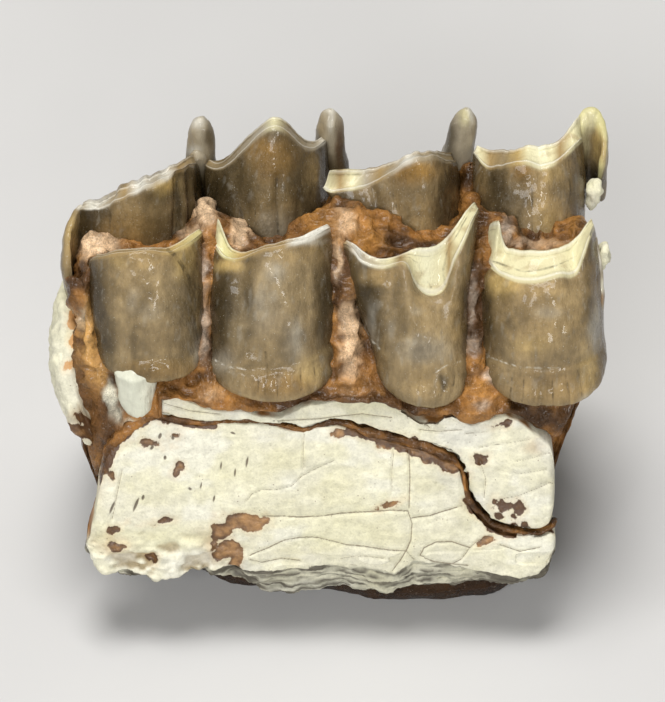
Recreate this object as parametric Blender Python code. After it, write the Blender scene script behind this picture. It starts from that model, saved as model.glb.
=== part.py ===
"""Fossil oreodont upper jaw piece with two molars, at its real size.

+X runs along the tooth row towards the front of the jaw, +Y outwards to the cheek and +Z towards the
chewing surface. The origin lies on the flat spot that the piece stands on, under the middle of the tooth row.
Every dimension below is in millimetres. A point is (x, y, z).
"""

import math
from collections import namedtuple

import bmesh
import bpy
import numpy as np

MM = 0.001

# Clearance left between two pieces that touch.
GAP = 0.3

# Faces that meet at more than this angle are shaded with a sharp edge.
SHARP_ANGLE = math.radians(40)

# The palate side of the bone leans out towards its lower edge.
RIM_Y = -8.3
RIM_Z = 16.1
FLARE = 0.42
PLATE_THICK = 2.3
PLATE_BULGE = 0.35
PLATE_FULL_HEIGHT = 8.0
# How far its upper edge is rounded off, back and down, and its inner edge down.
EDGE_BACK = 0.25
EDGE_DROP = 0.3
INNER_DROP = 0.1
# Its broken lower edge lies this far back, plus this share of its hang, and rises by this share behind.
HANG_BACK = 0.5
HANG_LEAN = 0.1
HANG_RISE = 0.5

# Levels and arc points of one cusp, and the powers that shape its arc and its inner face.
CUSP_LEVELS = 8
ARC_POINTS = 13
ARC_FLATNESS = 0.8
HORN_SHAPE = 0.6
HORN_PINCH = 0.22
# The ledge round a cusp's foot: its level and how far it spreads, as shares of the height.
COLLAR_LEVEL = 0.08
COLLAR_SPREAD = 0.1

# Sides and levels of one style pillar, how it tapers, and where its dome starts and would close.
PILLAR_SIDES = 10
PILLAR_LEVELS = (0.3, 0.6, 0.8, 0.9, 0.96, 1.0)
PILLAR_TAPER = 0.7
DOME_FROM = 0.88
DOME_TO = 1.02

# The block under a crown: its sides, how square its outline is, and each ring's height and share of size.
BLOCK_SIDES = 20
BLOCK_SQUARENESS = 0.5
BLOCK_RINGS = ((14.6, 0.78), (16.2, 0.88), (17.4, 0.98), (21.3, 0.98))

# A cusp is a crescent wall, convex towards the palate. crest and foot are each (left, apex, right).
# thick is the wall at the crest, facet its lift towards the inner edge, pit the level where the wall has
# become solid, back the y of the solid crown there, fall how slowly it thickens on the way down, bulge the
# swelling of the wall and collar the ledge round its foot. peak is 1 where the crest runs straight up.
Cusp = namedtuple("Cusp", "crest foot thick facet pit back fall bulge collar peak")

# A style is a rounded pillar: tip, base, radius at the tip and at the base.
Style = namedtuple("Style", "tip base r_tip r_base")

REAR_CUSPS = {
    "hind_inner": Cusp(
        crest=((-15.6, -2.8, 24.3), (-12.0, -5.0, 26.5), (-8.3, -1.4, 25.6)),
        foot=((-14.8, -5.6, 18.1), (-11.7, -8.0, 17.8), (-8.4, -5.4, 17.9)),
        thick=1.1, facet=0.1, pit=22.3, back=0.5, fall=1.2, bulge=0.5, collar=0.25, peak=2.2,
    ),
    "front_inner": Cusp(
        crest=((-7.6, -1.5, 26.0), (-3.9, -4.7, 26.8), (-0.1, -1.6, 26.0)),
        foot=((-7.8, -5.2, 17.0), (-3.8, -8.3, 16.5), (0.2, -5.2, 17.0)),
        thick=1.2, facet=0.1, pit=22.0, back=0.5, fall=1.2, bulge=0.5, collar=0.5, peak=2.2,
    ),
    "hind_outer": Cusp(
        crest=((-16.3, 0.6, 26.1), (-12.4, 0.2, 27.2), (-8.8, 6.2, 27.0)),
        foot=((-16.1, 1.6, 18.1), (-12.2, -2.5, 17.7), (-8.4, 4.6, 18.3)),
        thick=1.3, facet=-0.2, pit=17.0, back=7.0, fall=0.6, bulge=0.3, collar=0.0, peak=1.6,
    ),
    "front_outer": Cusp(
        crest=((-8.3, 6.1, 26.8), (-3.9, 3.2, 30.3), (-0.4, 6.4, 27.4)),
        foot=((-8.2, 4.6, 18.0), (-3.9, -2.5, 17.6), (-0.2, 4.6, 18.2)),
        thick=1.3, facet=-0.3, pit=17.0, back=7.6, fall=0.6, bulge=0.3, collar=0.0, peak=1.1,
    ),
}
REAR_STYLES = {
    "middle": Style((-8.55, 6.9, 27.6), (-8.6, 7.2, 16.6), 0.95, 1.6),
    "front": Style((-0.1, 6.9, 28.2), (-0.6, 7.2, 16.6), 0.95, 1.5),
    "hind": Style((-16.1, -1.5, 25.1), (-15.7, -1.0, 20.2), 1.25, 1.2),
}
# Corners of the block under the crowns: x from, x to, y from, y to.
REAR_BLOCK = (-15.7, -0.5, -6.2, 7.2)

FRONT_CUSPS = {
    "hind_inner": Cusp(
        crest=((0.7, -2.5, 25.1), (5.3, -5.0, 25.8), (9.2, -0.4, 26.5)),
        foot=((3.2, -5.6, 16.8), (6.3, -8.5, 16.1), (8.7, -5.6, 16.8)),
        thick=1.3, facet=0.1, pit=21.8, back=0.5, fall=1.2, bulge=0.6, collar=0.35, peak=2.2,
    ),
    "front_inner": Cusp(
        crest=((9.9, -1.2, 25.7), (13.6, -5.5, 24.8), (16.8, -0.9, 25.9)),
        foot=((10.0, -5.4, 16.8), (13.9, -8.5, 16.2), (17.5, -5.0, 16.8)),
        thick=2.0, facet=0.6, pit=21.8, back=0.5, fall=1.2, bulge=0.6, collar=0.45, peak=2.2,
    ),
    "hind_outer": Cusp(
        crest=((-0.6, 2.3, 27.0), (5.2, 2.0, 26.9), (8.0, 6.2, 27.3)),
        foot=((2.4, 3.6, 18.1), (5.4, -2.5, 17.7), (8.6, 4.6, 18.3)),
        thick=1.5, facet=-0.2, pit=17.0, back=7.6, fall=0.6, bulge=0.3, collar=0.0, peak=2.0,
    ),
    "front_outer": Cusp(
        crest=((9.2, 6.0, 27.2), (13.0, 2.8, 27.3), (16.3, 6.2, 27.8)),
        foot=((9.4, 4.6, 18.0), (13.2, -2.5, 17.6), (16.6, 4.6, 18.2)),
        thick=1.6, facet=-0.2, pit=17.0, back=7.6, fall=0.6, bulge=0.3, collar=0.0, peak=2.0,
    ),
}
FRONT_STYLES = {
    "middle": Style((8.7, 7.3, 28.4), (8.3, 7.3, 16.6), 0.95, 1.8),
    "front": Style((16.6, 7.0, 28.2), (16.3, 7.2, 16.6), 1.1, 1.6),
    "mesial": Style((17.35, 5.7, 26.9), (16.5, 5.2, 17.1), 0.6, 1.2),
}
FRONT_BLOCK = (1.0, 16.7, -6.2, 7.4)

# The exposed neck of the rear molar's inner root.
ROOT_NECK = Style((-13.0, -7.2, 18.6), (-12.6, -7.9, 15.1), 1.6, 0.7)

# Bone strips: x, upper edge z, lower edge z, and how far the broken lower edge hangs below it.
PLATE_STATIONS = (
    (-15.5, 8.2, 6.5, 0.4), (-15.0, 11.4, 6.2, 0.8), (-13.7, 13.6, 6.0, 1.0), (-11.7, 14.9, 6.0, 1.0),
    (-8.5, 14.6, 6.1, 1.0), (-6.3, 14.7, 6.1, 1.1), (-4.5, 14.8, 5.7, 1.8), (-2.1, 14.3, 5.7, 2.3),
    (0.1, 14.7, 5.9, 2.4), (3.1, 14.0, 5.9, 2.3), (5.7, 13.2, 5.8, 1.9), (7.9, 12.4, 5.6, 1.2),
    (8.7, 10.0, 5.5, 1.0), (10.2, 8.4, 5.4, 0.9), (12.1, 7.8, 5.2, 0.8), (13.7, 7.9, 5.6, 0.5),
    (14.4, 7.5, 6.2, 0.3),
)
RIM_STATIONS = (
    (-11.3, 16.0, 15.4, 0.0), (-9.8, 16.1, 15.2, 0.0), (-7.5, 15.6, 15.1, 0.0), (-5.0, 15.7, 15.1, 0.0),
    (-2.1, 15.7, 14.8, 0.0), (0.1, 16.1, 15.1, 0.0), (3.1, 16.3, 14.5, 0.0), (5.7, 15.1, 13.7, 0.0),
    (7.9, 15.3, 12.9, 0.0), (8.9, 15.2, 10.4, 0.0), (10.5, 15.4, 8.9, 0.0), (12.1, 14.9, 8.3, 0.0),
    (13.7, 13.8, 8.4, 0.0), (14.4, 13.1, 9.0, 0.0),
)

# The sediment, x by x: level of its underside, front of its foot, front of its lap over the bone rim, back
# wall and level of its top. Between the two molars it stands up as a ridge.
SEDIMENT_STATIONS = (
    (-15.8, 8.0, -5.0, -5.4, 1.6, 18.0), (-15.1, 6.0, -6.2, -6.4, 3.4, 19.0),
    (-13.4, 3.2, -7.0, -7.6, 5.2, 19.4), (-10.5, 1.8, -7.4, -8.1, 6.3, 19.4),
    (-7.0, 0.0, -8.2, -8.1, 6.6, 19.4), (-2.1, 0.0, -8.6, -8.1, 6.6, 19.4),
    (-0.6, 0.0, -8.8, -8.1, 6.6, 19.4), (0.4, 0.0, -9.0, -8.1, 6.6, 24.4),
    (1.5, 0.0, -9.3, -8.1, 6.6, 24.4), (2.6, 0.0, -9.6, -8.1, 6.6, 19.4),
    (5.0, 0.0, -9.8, -8.1, 6.6, 19.2), (8.8, 0.0, -9.8, -8.1, 6.6, 19.2),
    (11.5, 0.0, -9.2, -8.1, 6.6, 19.2), (13.6, 2.2, -8.4, -8.1, 6.6, 18.6),
    (14.8, 6.0, -7.0, -7.6, 6.2, 16.8),
)
# Shares of the height at which the sediment's front is set out, and the level of the plate's lower edge.
FRONT_SHARES = (0.0, 0.25, 0.5, 0.75, 1.0)
EDGE_Z = 5.8
# Above the rim the sediment steps back (y, z) from its lap, leans back to a shoulder (share of y, z), crosses
# the valley (y, z below its top), and comes down behind the crowns (y in front of the back wall, z).
SEDIMENT_MIN_FRONT = 2.0
LAP_LIFT = 0.1
LAP_STEP = (0.2, 1.0)
SHOULDER = (0.8, 0.5)
VALLEY = ((-3.6, 0.0), (-2.0, 0.4))
VALLEY_FLOOR = (-0.6, 18.0)
BACK_TOP = ((0.5, 17.0), (0.0, 15.4))
# Its back wall ends this far above the underside, which is this much narrower.
BACK_FOOT = 3.0
UNDERSIDE_INSET = 0.9

# The cheek bone's path round the left end and along the outer side: outer x and y, lower and upper z,
# thickness.
CHEEK_STATIONS = (
    (-15.6, -8.0, 10.6, 13.2, 1.2), (-16.7, -7.3, 10.0, 15.6, 1.3), (-17.5, -5.7, 9.6, 18.4, 1.3),
    (-17.8, -3.0, 8.8, 19.7, 1.3), (-17.7, 0.6, 7.4, 19.2, 1.3), (-17.0, 4.0, 5.8, 17.6, 1.1),
    (-15.0, 7.4, 4.3, 16.2, 1.5), (-10.5, 9.0, 3.4, 15.9, 2.1), (-6.0, 9.5, 3.2, 15.6, 2.5),
    (-1.0, 9.6, 3.4, 15.8, 2.7), (4.0, 9.7, 3.6, 15.6, 2.8), (9.0, 9.5, 3.6, 15.8, 2.6),
    (13.0, 9.1, 4.4, 15.4, 2.2), (15.4, 8.6, 6.6, 14.2, 1.7),
)
CHEEK_SWELL = 0.5
# Its section: inward by a share of the thickness and of the swelling, up by a share of the height and by mm.
CHEEK_SECTION = (
    (0.35, 0, 0, 0), (0, 0, 0.15, 0), (0, -1, 0.5, 0), (0, 0, 1, -0.5),
    (0.4, 0, 1, 0), (1, 0, 1, -0.5), (1, 0, 0.5, 0), (1, 0, 0, 0.3),
)

# Bone flakes on the right-hand end: centre, half sizes.
FLAKES = {
    "edge_flake_upper": ((17.3, 4.2, 22.8), (0.45, 0.8, 1.2)),
    "edge_flake_lower": ((17.45, -2.2, 23.4), (0.35, 0.7, 1.1)),
}

BONE = ((0.80, 0.76, 0.63), 0.6)
ENAMEL = ((0.30, 0.23, 0.14), 0.25)
SEDIMENT = ((0.33, 0.15, 0.05), 0.35)


def clear_scene():
    for old in list(bpy.data.objects):
        bpy.data.objects.remove(old)


def finish_of(name, look):
    """A Principled material of this colour and roughness, made once."""
    found = bpy.data.materials.get(name)
    if found:
        return found
    colour, roughness = look
    made = bpy.data.materials.new(name)
    made.use_nodes = True
    shader = made.node_tree.nodes["Principled BSDF"]
    shader.inputs["Base Color"].default_value = (*colour, 1.0)
    shader.inputs["Roughness"].default_value = roughness
    shader.inputs["Metallic"].default_value = 0.0
    return made


def object_from(name, bm, material):
    """The bmesh, measured in millimetres, as an object in metres with its faces pointing outwards."""
    bmesh.ops.recalc_face_normals(bm, faces=bm.faces)
    bmesh.ops.scale(bm, vec=(MM, MM, MM), verts=bm.verts)
    mesh = bpy.data.meshes.new(name)
    bm.to_mesh(mesh)
    bm.free()
    mesh.materials.append(material)
    mesh.shade_smooth()
    mesh.set_sharp_from_angle(angle=SHARP_ANGLE)
    obj = bpy.data.objects.new(name, mesh)
    bpy.context.scene.collection.objects.link(obj)
    return obj


def stack_rings(name, rings, material):
    """A closed solid from rings of equal length, bridged one to the next, with a fan over each end."""
    bm = bmesh.new()
    loops = [[bm.verts.new(point) for point in ring] for ring in rings]
    count = len(loops[0])
    for low, high in zip(loops, loops[1:]):
        for i in range(count):
            j = (i + 1) % count
            bm.faces.new((low[i], low[j], high[j], high[i]))
    for loop, ring in ((loops[0], rings[0]), (loops[-1], rings[-1])):
        middle = bm.verts.new(np.mean(ring, axis=0))
        for i in range(count):
            bm.faces.new((loop[i], loop[(i + 1) % count], middle))
    return object_from(name, bm, material)


def crescent_arc(left, apex, right, peak):
    """Points from left to right through apex: x is a flattened cosine, y a sine, z falls as reach to peak."""
    turn = np.linspace(0.0, math.pi, ARC_POINTS)
    side = np.where(turn[:, None] < math.pi / 2, np.array(left), np.array(right))
    reach = np.abs(np.cos(turn)) ** ARC_FLATNESS
    x = apex[0] + (side[:, 0] - apex[0]) * reach
    y = side[:, 1] + (apex[1] - side[:, 1]) * np.sin(turn)
    z = apex[2] + (side[:, 2] - apex[2]) * reach ** peak
    return np.stack([x, y, z], axis=1)


def grown(cusp, by):
    """The cusp with every face moved out by this much."""
    def spread(points, up):
        (lx, ly, lz), (ax, ay, az), (rx, ry, rz) = points
        return (lx - by, ly + by, lz + up), (ax, ay - by, az + up), (rx + by, ry + by, rz + up)

    return cusp._replace(
        crest=spread(cusp.crest, by), foot=spread(cusp.foot, -by), thick=cusp.thick + 2 * by,
        pit=cusp.pit + by, back=cusp.back + by,
    )


def cusp_rings(cusp):
    """Level outlines of the crescent, foot to crest: the outer arc, then back along the inner face."""
    crest, foot = np.array(cusp.crest), np.array(cusp.foot)
    rings = []
    for level in np.linspace(0.0, 1.0, CUSP_LEVELS):
        left, apex, right = foot + (crest - foot) * level
        ledge = cusp.collar * math.exp(-((level - COLLAR_LEVEL) / COLLAR_SPREAD) ** 2)
        swell = cusp.bulge * math.sin(math.pi * level) + ledge
        apex = apex - (0.0, swell, 0.0)
        side = swell / 2
        outer = crescent_arc(left - (side, 0, 0), apex, right + (side, 0, 0), cusp.peak)
        above_pit = max(0.0, (apex[2] - cusp.pit) / (crest[1][2] - cusp.pit))
        deep = cusp.back - apex[1]
        wall = cusp.thick + (deep - cusp.thick) * (1.0 - above_pit) ** cusp.fall
        inner = outer.copy()
        shape = np.sin(np.linspace(0.0, math.pi, ARC_POINTS)) ** HORN_SHAPE
        inner[:, 0] = apex[0] + (outer[:, 0] - apex[0]) * (1.0 - HORN_PINCH * shape)
        inner[:, 1] = outer[:, 1] + np.minimum(wall, cusp.back - outer[:, 1]) * shape
        inner[:, 2] += cusp.facet * level * shape
        rings.append((outer, inner[1:-1][::-1]))
    return rings


def cusp_object(name, cusp):
    """The crescent as a closed solid. Its two ends are covered by strips from the outer to the inner face."""
    bm = bmesh.new()
    rings = [np.vstack(pair) for pair in cusp_rings(cusp)]
    loops = [[bm.verts.new(point) for point in ring] for ring in rings]
    count = len(loops[0])
    for low, high in zip(loops, loops[1:]):
        for i in range(count):
            j = (i + 1) % count
            bm.faces.new((low[i], low[j], high[j], high[i]))
    for loop in (loops[0], loops[-1]):
        outer, inner = loop[:ARC_POINTS], loop[ARC_POINTS:][::-1]
        bm.faces.new((outer[0], outer[1], inner[0]))
        for i in range(len(inner) - 1):
            bm.faces.new((outer[i + 1], outer[i + 2], inner[i + 1], inner[i]))
        bm.faces.new((outer[-2], outer[-1], inner[-1]))
    return object_from(name, bm, finish_of("enamel", ENAMEL))


def pillar_object(name, style, grow=0.0):
    """A round pillar along the line from base to tip, with a domed tip."""
    tip, base = np.array(style.tip), np.array(style.base)
    turn = np.linspace(0.0, 2 * math.pi, PILLAR_SIDES, endpoint=False)
    circle = np.stack([np.cos(turn), np.sin(turn), np.zeros(PILLAR_SIDES)], axis=1)
    rings = [base - (0, 0, grow) + circle * (style.r_base + grow)]
    for level in PILLAR_LEVELS:
        dome = math.sqrt(1.0 - (max(0.0, level - DOME_FROM) / (DOME_TO - DOME_FROM)) ** 2)
        radius = (style.r_base + (style.r_tip - style.r_base) * level ** PILLAR_TAPER) * dome + grow
        rings.append(base + (tip - base) * level + (0, 0, grow) + circle * radius)
    return stack_rings(name, rings, finish_of("enamel", ENAMEL))


def block_object(name, corners, grow=0.0):
    """The solid crown base: a rounded box whose lower end narrows towards the roots."""
    x0, x1, y0, y1 = corners
    middle = np.array([(x0 + x1) / 2, (y0 + y1) / 2])
    half = np.array([(x1 - x0) / 2, (y1 - y0) / 2])
    turn = np.linspace(0.0, 2 * math.pi, BLOCK_SIDES, endpoint=False)
    outline = np.stack([np.cos(turn), np.sin(turn)], axis=1)
    outline = np.sign(outline) * np.abs(outline) ** BLOCK_SQUARENESS
    rings = []
    for (z, share), lift in zip(BLOCK_RINGS, (-grow, 0.0, 0.0, grow)):
        plan = middle + outline * (half * share + grow)
        rings.append(np.column_stack([plan, np.full(len(plan), z + lift)]))
    return stack_rings(name, rings, finish_of("enamel", ENAMEL))


def molar_parts(prefix, cusps, styles, corners, grow=0.0):
    """Every solid that one molar is united from, each moved out by grow."""
    parts = [block_object(prefix + "_block", corners, grow)]
    for name, cusp in cusps.items():
        parts.append(cusp_object(f"{prefix}_{name}", grown(cusp, grow) if grow else cusp))
    for name, style in styles.items():
        parts.append(pillar_object(f"{prefix}_{name}_style", style, grow))
    return parts


def helpers(name, objects):
    """Puts helper solids in a collection of their own and keeps them out of the render."""
    group = bpy.data.collections.new(name)
    bpy.context.scene.collection.children.link(group)
    for obj in objects:
        bpy.context.scene.collection.objects.unlink(obj)
        group.objects.link(obj)
        obj.hide_render = True
        obj.display_type = "WIRE"
    return group


def boolean(obj, operation, group):
    modifier = obj.modifiers.new(f"{operation.lower()} {group.name}", "BOOLEAN")
    modifier.operation = operation
    modifier.solver = "EXACT"
    modifier.operand_type = "COLLECTION"
    modifier.collection = group


def plate_y(z):
    """The palate face of the bone at this height."""
    return RIM_Y - (RIM_Z - z) * FLARE


def bone_strip(name, stations):
    """A strip of the palate side: its section, carried along x, is a slab with a broken lower edge."""
    rings = []
    for x, top, bottom, hang in stations:
        middle = (top + bottom) / 2
        swell = PLATE_BULGE * min(1.0, (top - bottom) / PLATE_FULL_HEIGHT)
        front = [
            (x, plate_y(top) + EDGE_BACK, top), (x, plate_y(top - EDGE_DROP), top - EDGE_DROP),
            (x, plate_y(middle) - swell, middle), (x, plate_y(bottom), bottom),
        ]
        edge = [(x, plate_y(bottom) + HANG_BACK + HANG_LEAN * hang, bottom - hang)] if hang else []
        back = [
            (x, plate_y(bottom) + PLATE_THICK, bottom - HANG_RISE * hang + INNER_DROP),
            (x, plate_y(middle) + PLATE_THICK, middle), (x, plate_y(top) + PLATE_THICK, top - INNER_DROP),
        ]
        rings.append(np.array(front + edge + back))
    return stack_rings(name, rings, finish_of("bone", BONE))


def cheek_bone():
    """The outer wall: an upright slab carried round the hind end and along the cheek side."""
    path = np.array(CHEEK_STATIONS)
    along = np.gradient(path[:, :2], axis=0)
    along /= np.linalg.norm(along, axis=1)[:, None]
    inward = np.stack([along[:, 1], -along[:, 0]], axis=1)
    rings = []
    for (x, y, low, high, thick), (ix, iy) in zip(path, inward):
        of_thick, of_swell, of_height, lift = np.array(CHEEK_SECTION, float).T
        inset = of_thick * thick + of_swell * CHEEK_SWELL
        up = low + of_height * (high - low) + lift
        rings.append(np.stack([x + ix * inset, y + iy * inset, up], axis=1))
    return stack_rings("cheek_bone", rings, finish_of("bone", BONE))


def bone_top(x):
    """The upper edge of the palate side: the plate's, or the rim's where the rim covers it."""
    plate_x, plate_top = np.array(PLATE_STATIONS)[:, :2].T
    rim_x, rim_top = np.array(RIM_STATIONS)[:, :2].T
    return max(np.interp(x, plate_x, plate_top), np.interp(x, rim_x, rim_top, left=0.0, right=0.0))


def sediment():
    """The brown core: it fills the space between the bones, laps over the rim and rises between the teeth."""
    stations = np.array(SEDIMENT_STATIONS)
    behind = PLATE_THICK + GAP
    rings = []
    every_x = {x for table in (SEDIMENT_STATIONS, RIM_STATIONS, PLATE_STATIONS) for x, *_ in table}
    for x in sorted(every_x):
        if not stations[0, 0] <= x <= stations[-1, 0]:
            continue
        low, foot, lap, back, top = (np.interp(x, stations[:, 0], column) for column in stations[:, 1:].T)
        rim = max(bone_top(x), low + SEDIMENT_MIN_FRONT)
        front = []
        for share in FRONT_SHARES:
            z = low + (rim + LAP_LIFT - low) * share
            front.append((x, max(foot, plate_y(max(z, EDGE_Z)) + behind), z))
        over = [
            (x, lap, rim + GAP + LAP_LIFT), (x, lap + LAP_STEP[0], rim + LAP_STEP[1]),
            (x, lap * SHOULDER[0], (rim + top) / 2 + SHOULDER[1]),
        ]
        over += [(x, y, top - below) for y, below in VALLEY]
        over.append((x, *VALLEY_FLOOR))
        over += [(x, back - inset, z) for inset, z in BACK_TOP]
        under = [(x, back, low + BACK_FOOT), (x, back - UNDERSIDE_INSET, low)]
        rings.append(np.array(front + over + under))
    return stack_rings("matrix", rings, finish_of("sediment", SEDIMENT))


def flake(name, centre, half):
    """A small bone chip: a ball flattened to its half sizes."""
    bm = bmesh.new()
    bmesh.ops.create_icosphere(bm, subdivisions=2, radius=1.0)
    bmesh.ops.scale(bm, vec=half, verts=bm.verts)
    bmesh.ops.translate(bm, vec=centre, verts=bm.verts)
    return object_from(name, bm, finish_of("bone", BONE))


def main():
    clear_scene()
    rear = molar_parts("rear_molar", REAR_CUSPS, REAR_STYLES, REAR_BLOCK)
    rear.append(pillar_object("rear_molar_root", ROOT_NECK))
    front = molar_parts("front_molar", FRONT_CUSPS, FRONT_STYLES, FRONT_BLOCK)
    rear_room = molar_parts("rear_room", REAR_CUSPS, REAR_STYLES, REAR_BLOCK, GAP)
    rear_room.append(pillar_object("rear_room_root", ROOT_NECK, GAP))
    front_room = molar_parts("front_room", FRONT_CUSPS, FRONT_STYLES, FRONT_BLOCK, GAP)
    rear_space = helpers("rear_space", rear_room)
    front_space = helpers("front_space", front_room)

    for name, parts in (("rear_molar", rear), ("front_molar", front)):
        parts[0].name = name
        boolean(parts[0], "UNION", helpers(name + "_crown", parts[1:]))
    boolean(front[0], "DIFFERENCE", rear_space)

    core = sediment()
    boolean(core, "DIFFERENCE", rear_space)
    boolean(core, "DIFFERENCE", front_space)
    bone_strip("palate_plate", PLATE_STATIONS)
    bone_strip("alveolar_rim", RIM_STATIONS)
    cheek_bone()
    for name, (centre, half) in FLAKES.items():
        boolean(flake(name, centre, half), "DIFFERENCE", front_space)


main()
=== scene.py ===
"""Fossil oreodont upper jaw piece: the finish of its two molars, its bone and the brown sediment between them.

Shapes are worked out in millimetres and become metres when they go into a mesh. +X runs along the tooth row
towards the front of the jaw, +Y outwards to the cheek and +Z towards the chewing surface.

A place that the photograph shows is given as (across, down) in its pixels. The camera stands where the photograph
was taken from, so such a place has a known line of sight, and the surface it lies on gives its depth.
"""

import itertools
import math
from collections import namedtuple

import bpy
import numpy as np
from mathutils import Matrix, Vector


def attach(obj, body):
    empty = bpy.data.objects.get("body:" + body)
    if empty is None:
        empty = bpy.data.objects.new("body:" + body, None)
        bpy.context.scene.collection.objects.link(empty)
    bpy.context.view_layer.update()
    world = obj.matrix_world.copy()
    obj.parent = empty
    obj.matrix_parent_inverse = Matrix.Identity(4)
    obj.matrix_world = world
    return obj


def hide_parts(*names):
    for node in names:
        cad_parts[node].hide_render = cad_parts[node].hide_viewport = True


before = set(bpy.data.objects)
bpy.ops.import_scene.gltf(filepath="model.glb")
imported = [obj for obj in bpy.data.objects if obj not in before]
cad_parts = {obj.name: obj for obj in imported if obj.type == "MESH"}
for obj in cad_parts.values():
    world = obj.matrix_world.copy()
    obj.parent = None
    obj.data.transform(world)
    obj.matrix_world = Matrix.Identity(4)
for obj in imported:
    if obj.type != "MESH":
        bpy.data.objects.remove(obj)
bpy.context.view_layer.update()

MM = 0.001
FAR = 9.0  # mm: out of reach of every mark

# The camera: how far it looks down, where it stands in mm, its lens, and the photograph it matches.
LOOK_DOWN = math.radians(42.0)
EYE = np.array([0.03, -228.2, 218.8])
LENS = 238.5
SENSOR = 36.0
PHOTO_WIDE, PHOTO_HIGH = 665, 702
PIXELS_FOCAL = LENS / SENSOR * PHOTO_HIGH
PIXELS_PER_MM = 15.5
SIN_LOOK, COS_LOOK = math.sin(LOOK_DOWN), math.cos(LOOK_DOWN)
FORWARD = np.array([0.0, COS_LOOK, -SIN_LOOK])
UPWARD = np.array([0.0, SIN_LOOK, COS_LOOK])

# Colours, as linear light.
# OLIVE and DUSK are the enamel's darkest browns: its own colour in cracks and mottling, and painted shade where they
# darken the sides, furrows and shadowed faces of the cusps.
OLIVE = (0.032, 0.022, 0.009)
DUSK = (0.110, 0.078, 0.036)
TAUPE = (0.270, 0.203, 0.108)
TAN = (0.370, 0.255, 0.110)
AMBER = (0.300, 0.165, 0.038)
HONEY = (0.520, 0.370, 0.140)
CREAM = (0.740, 0.690, 0.430)
BUTTER = (0.720, 0.670, 0.330)
CHALK = (0.800, 0.780, 0.690)
# A pale grey: on the enamel some strokes are its own grey, and most strokes and flecks are painted highlights.
GREY_AND_GLINT = (0.400, 0.380, 0.320)
ASH = (0.380, 0.330, 0.240)
RUST = (0.340, 0.155, 0.040)
ORANGE = (0.460, 0.220, 0.055)
UMBER = (0.095, 0.045, 0.017)
# Painted shade for the sediment's deep hollows, the band under the crowns' feet and its underside.
SHADE_BROWN = (0.030, 0.013, 0.004)
PEACH = (0.900, 0.640, 0.400)
SAFFRON = (0.620, 0.350, 0.115)
BLUSH = (0.580, 0.460, 0.350)
IVORY = (0.850, 0.820, 0.660)
LEMON = (0.840, 0.810, 0.560)
ASHEN = (0.520, 0.510, 0.450)
ROOTY = (0.720, 0.730, 0.600)
YELLOWED = (0.720, 0.680, 0.420)
BLEACHED = (0.900, 0.890, 0.800)
HOLLOW = (0.420, 0.310, 0.150)
SPLINTER = (0.360, 0.350, 0.270)
# Painted shade in the gaps below the overhanging layers of the broken bone edge.
SHELF_SHADOW = (0.075, 0.060, 0.040)
PORE = (0.200, 0.140, 0.090)
PIT = (0.100, 0.070, 0.045)
HAIRLINE = (0.170, 0.120, 0.070)
HALO = (0.620, 0.400, 0.180)
STAIN_DARK = (0.090, 0.042, 0.017)
STAIN_LIGHT = (0.580, 0.320, 0.125)
WARM_LIGHT = (1.000, 0.980, 0.950)
WHITE_LIGHT = (1.000, 1.000, 1.000)
SKY_LIGHT = (1.000, 0.960, 0.880, 1.000)


# Curves, noise and grids


def smooth_step(low, high, value):
    """0 below low, 1 above high, and a smooth S between them."""
    t = np.clip((value - low) / (high - low), 0.0, 1.0)
    return t * t * (3.0 - 2.0 * t)


def smooth_through(at, knots, values):
    """Values on a smooth curve through the knots: cubic pieces whose slopes are those between the neighbours."""
    knots = np.asarray(knots, float)
    values = np.asarray(values, float)
    slopes = np.gradient(values, knots, axis=0)
    piece = np.clip(np.searchsorted(knots, at) - 1, 0, len(knots) - 2)
    span = knots[piece + 1] - knots[piece]
    t = np.clip((at - knots[piece]) / span, 0.0, 1.0)
    shape = np.shape(at) + (1,) * (values.ndim - 1)
    t, span = t.reshape(shape), span.reshape(shape)
    start = (1 + 2 * t) * (1 - t) ** 2 * values[piece] + t * (1 - t) ** 2 * span * slopes[piece]
    end = t * t * (3 - 2 * t) * values[piece + 1] - t * t * (1 - t) * span * slopes[piece + 1]
    return start + end


def closed_through(at, values):
    """Values on a smooth closed curve through rows of knots that stand at 0, 1, 2 and so on."""
    knots = np.arange(-2, len(values) + 3)
    return smooth_through(at, knots, values[knots % len(values)])


def quarter_round(away, radius):
    """0 at an end and 1 from this radius on, rising as a quarter circle does."""
    return np.sqrt(np.clip(1.0 - (1.0 - np.clip(away / radius, 0.0, 1.0)) ** 2, 0.0, 1.0))


def once_round(count):
    """Angles once round a circle."""
    return np.linspace(0.0, 2 * math.pi, count, endpoint=False)


def squarer(value, power):
    """The value's size to a power below 1 with its sign kept, which makes a circle squarer."""
    return np.sign(value) * np.abs(value) ** power


def carried(stations, count):
    """Evenly spaced places along a path of stations, x and y first: distances to the nearer end, and the values."""
    table = np.array(stations, float)
    run = np.concatenate([[0.0], np.cumsum(np.linalg.norm(np.diff(table[:, :2], axis=0), axis=1))])
    at = np.linspace(0.0, run[-1], count)
    return np.minimum(at, run[-1] - at), smooth_through(at, run, table).T


def headings(x, y):
    """Unit vectors along a path in plan."""
    along = np.stack([np.gradient(x), np.gradient(y)], axis=1)
    return along / np.linalg.norm(along, axis=1)[:, None]


def cell_value(cell, seed):
    """A fixed value from 0 to 1 for each whole-numbered cell, from the bits of its three numbers."""
    bits = (cell[..., 0] * 73856093) ^ (cell[..., 1] * 19349663) ^ (cell[..., 2] * 83492791)
    bits = (bits ^ (seed * 2654435761)) & 0xFFFFFFFF
    bits = ((bits ^ (bits >> 13)) * 1274126177) & 0xFFFFFFFF
    bits = ((bits ^ (bits >> 15)) * 2246822519) & 0xFFFFFFFF
    return ((bits >> 8) & 0xFFFF) / 65535.0


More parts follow.
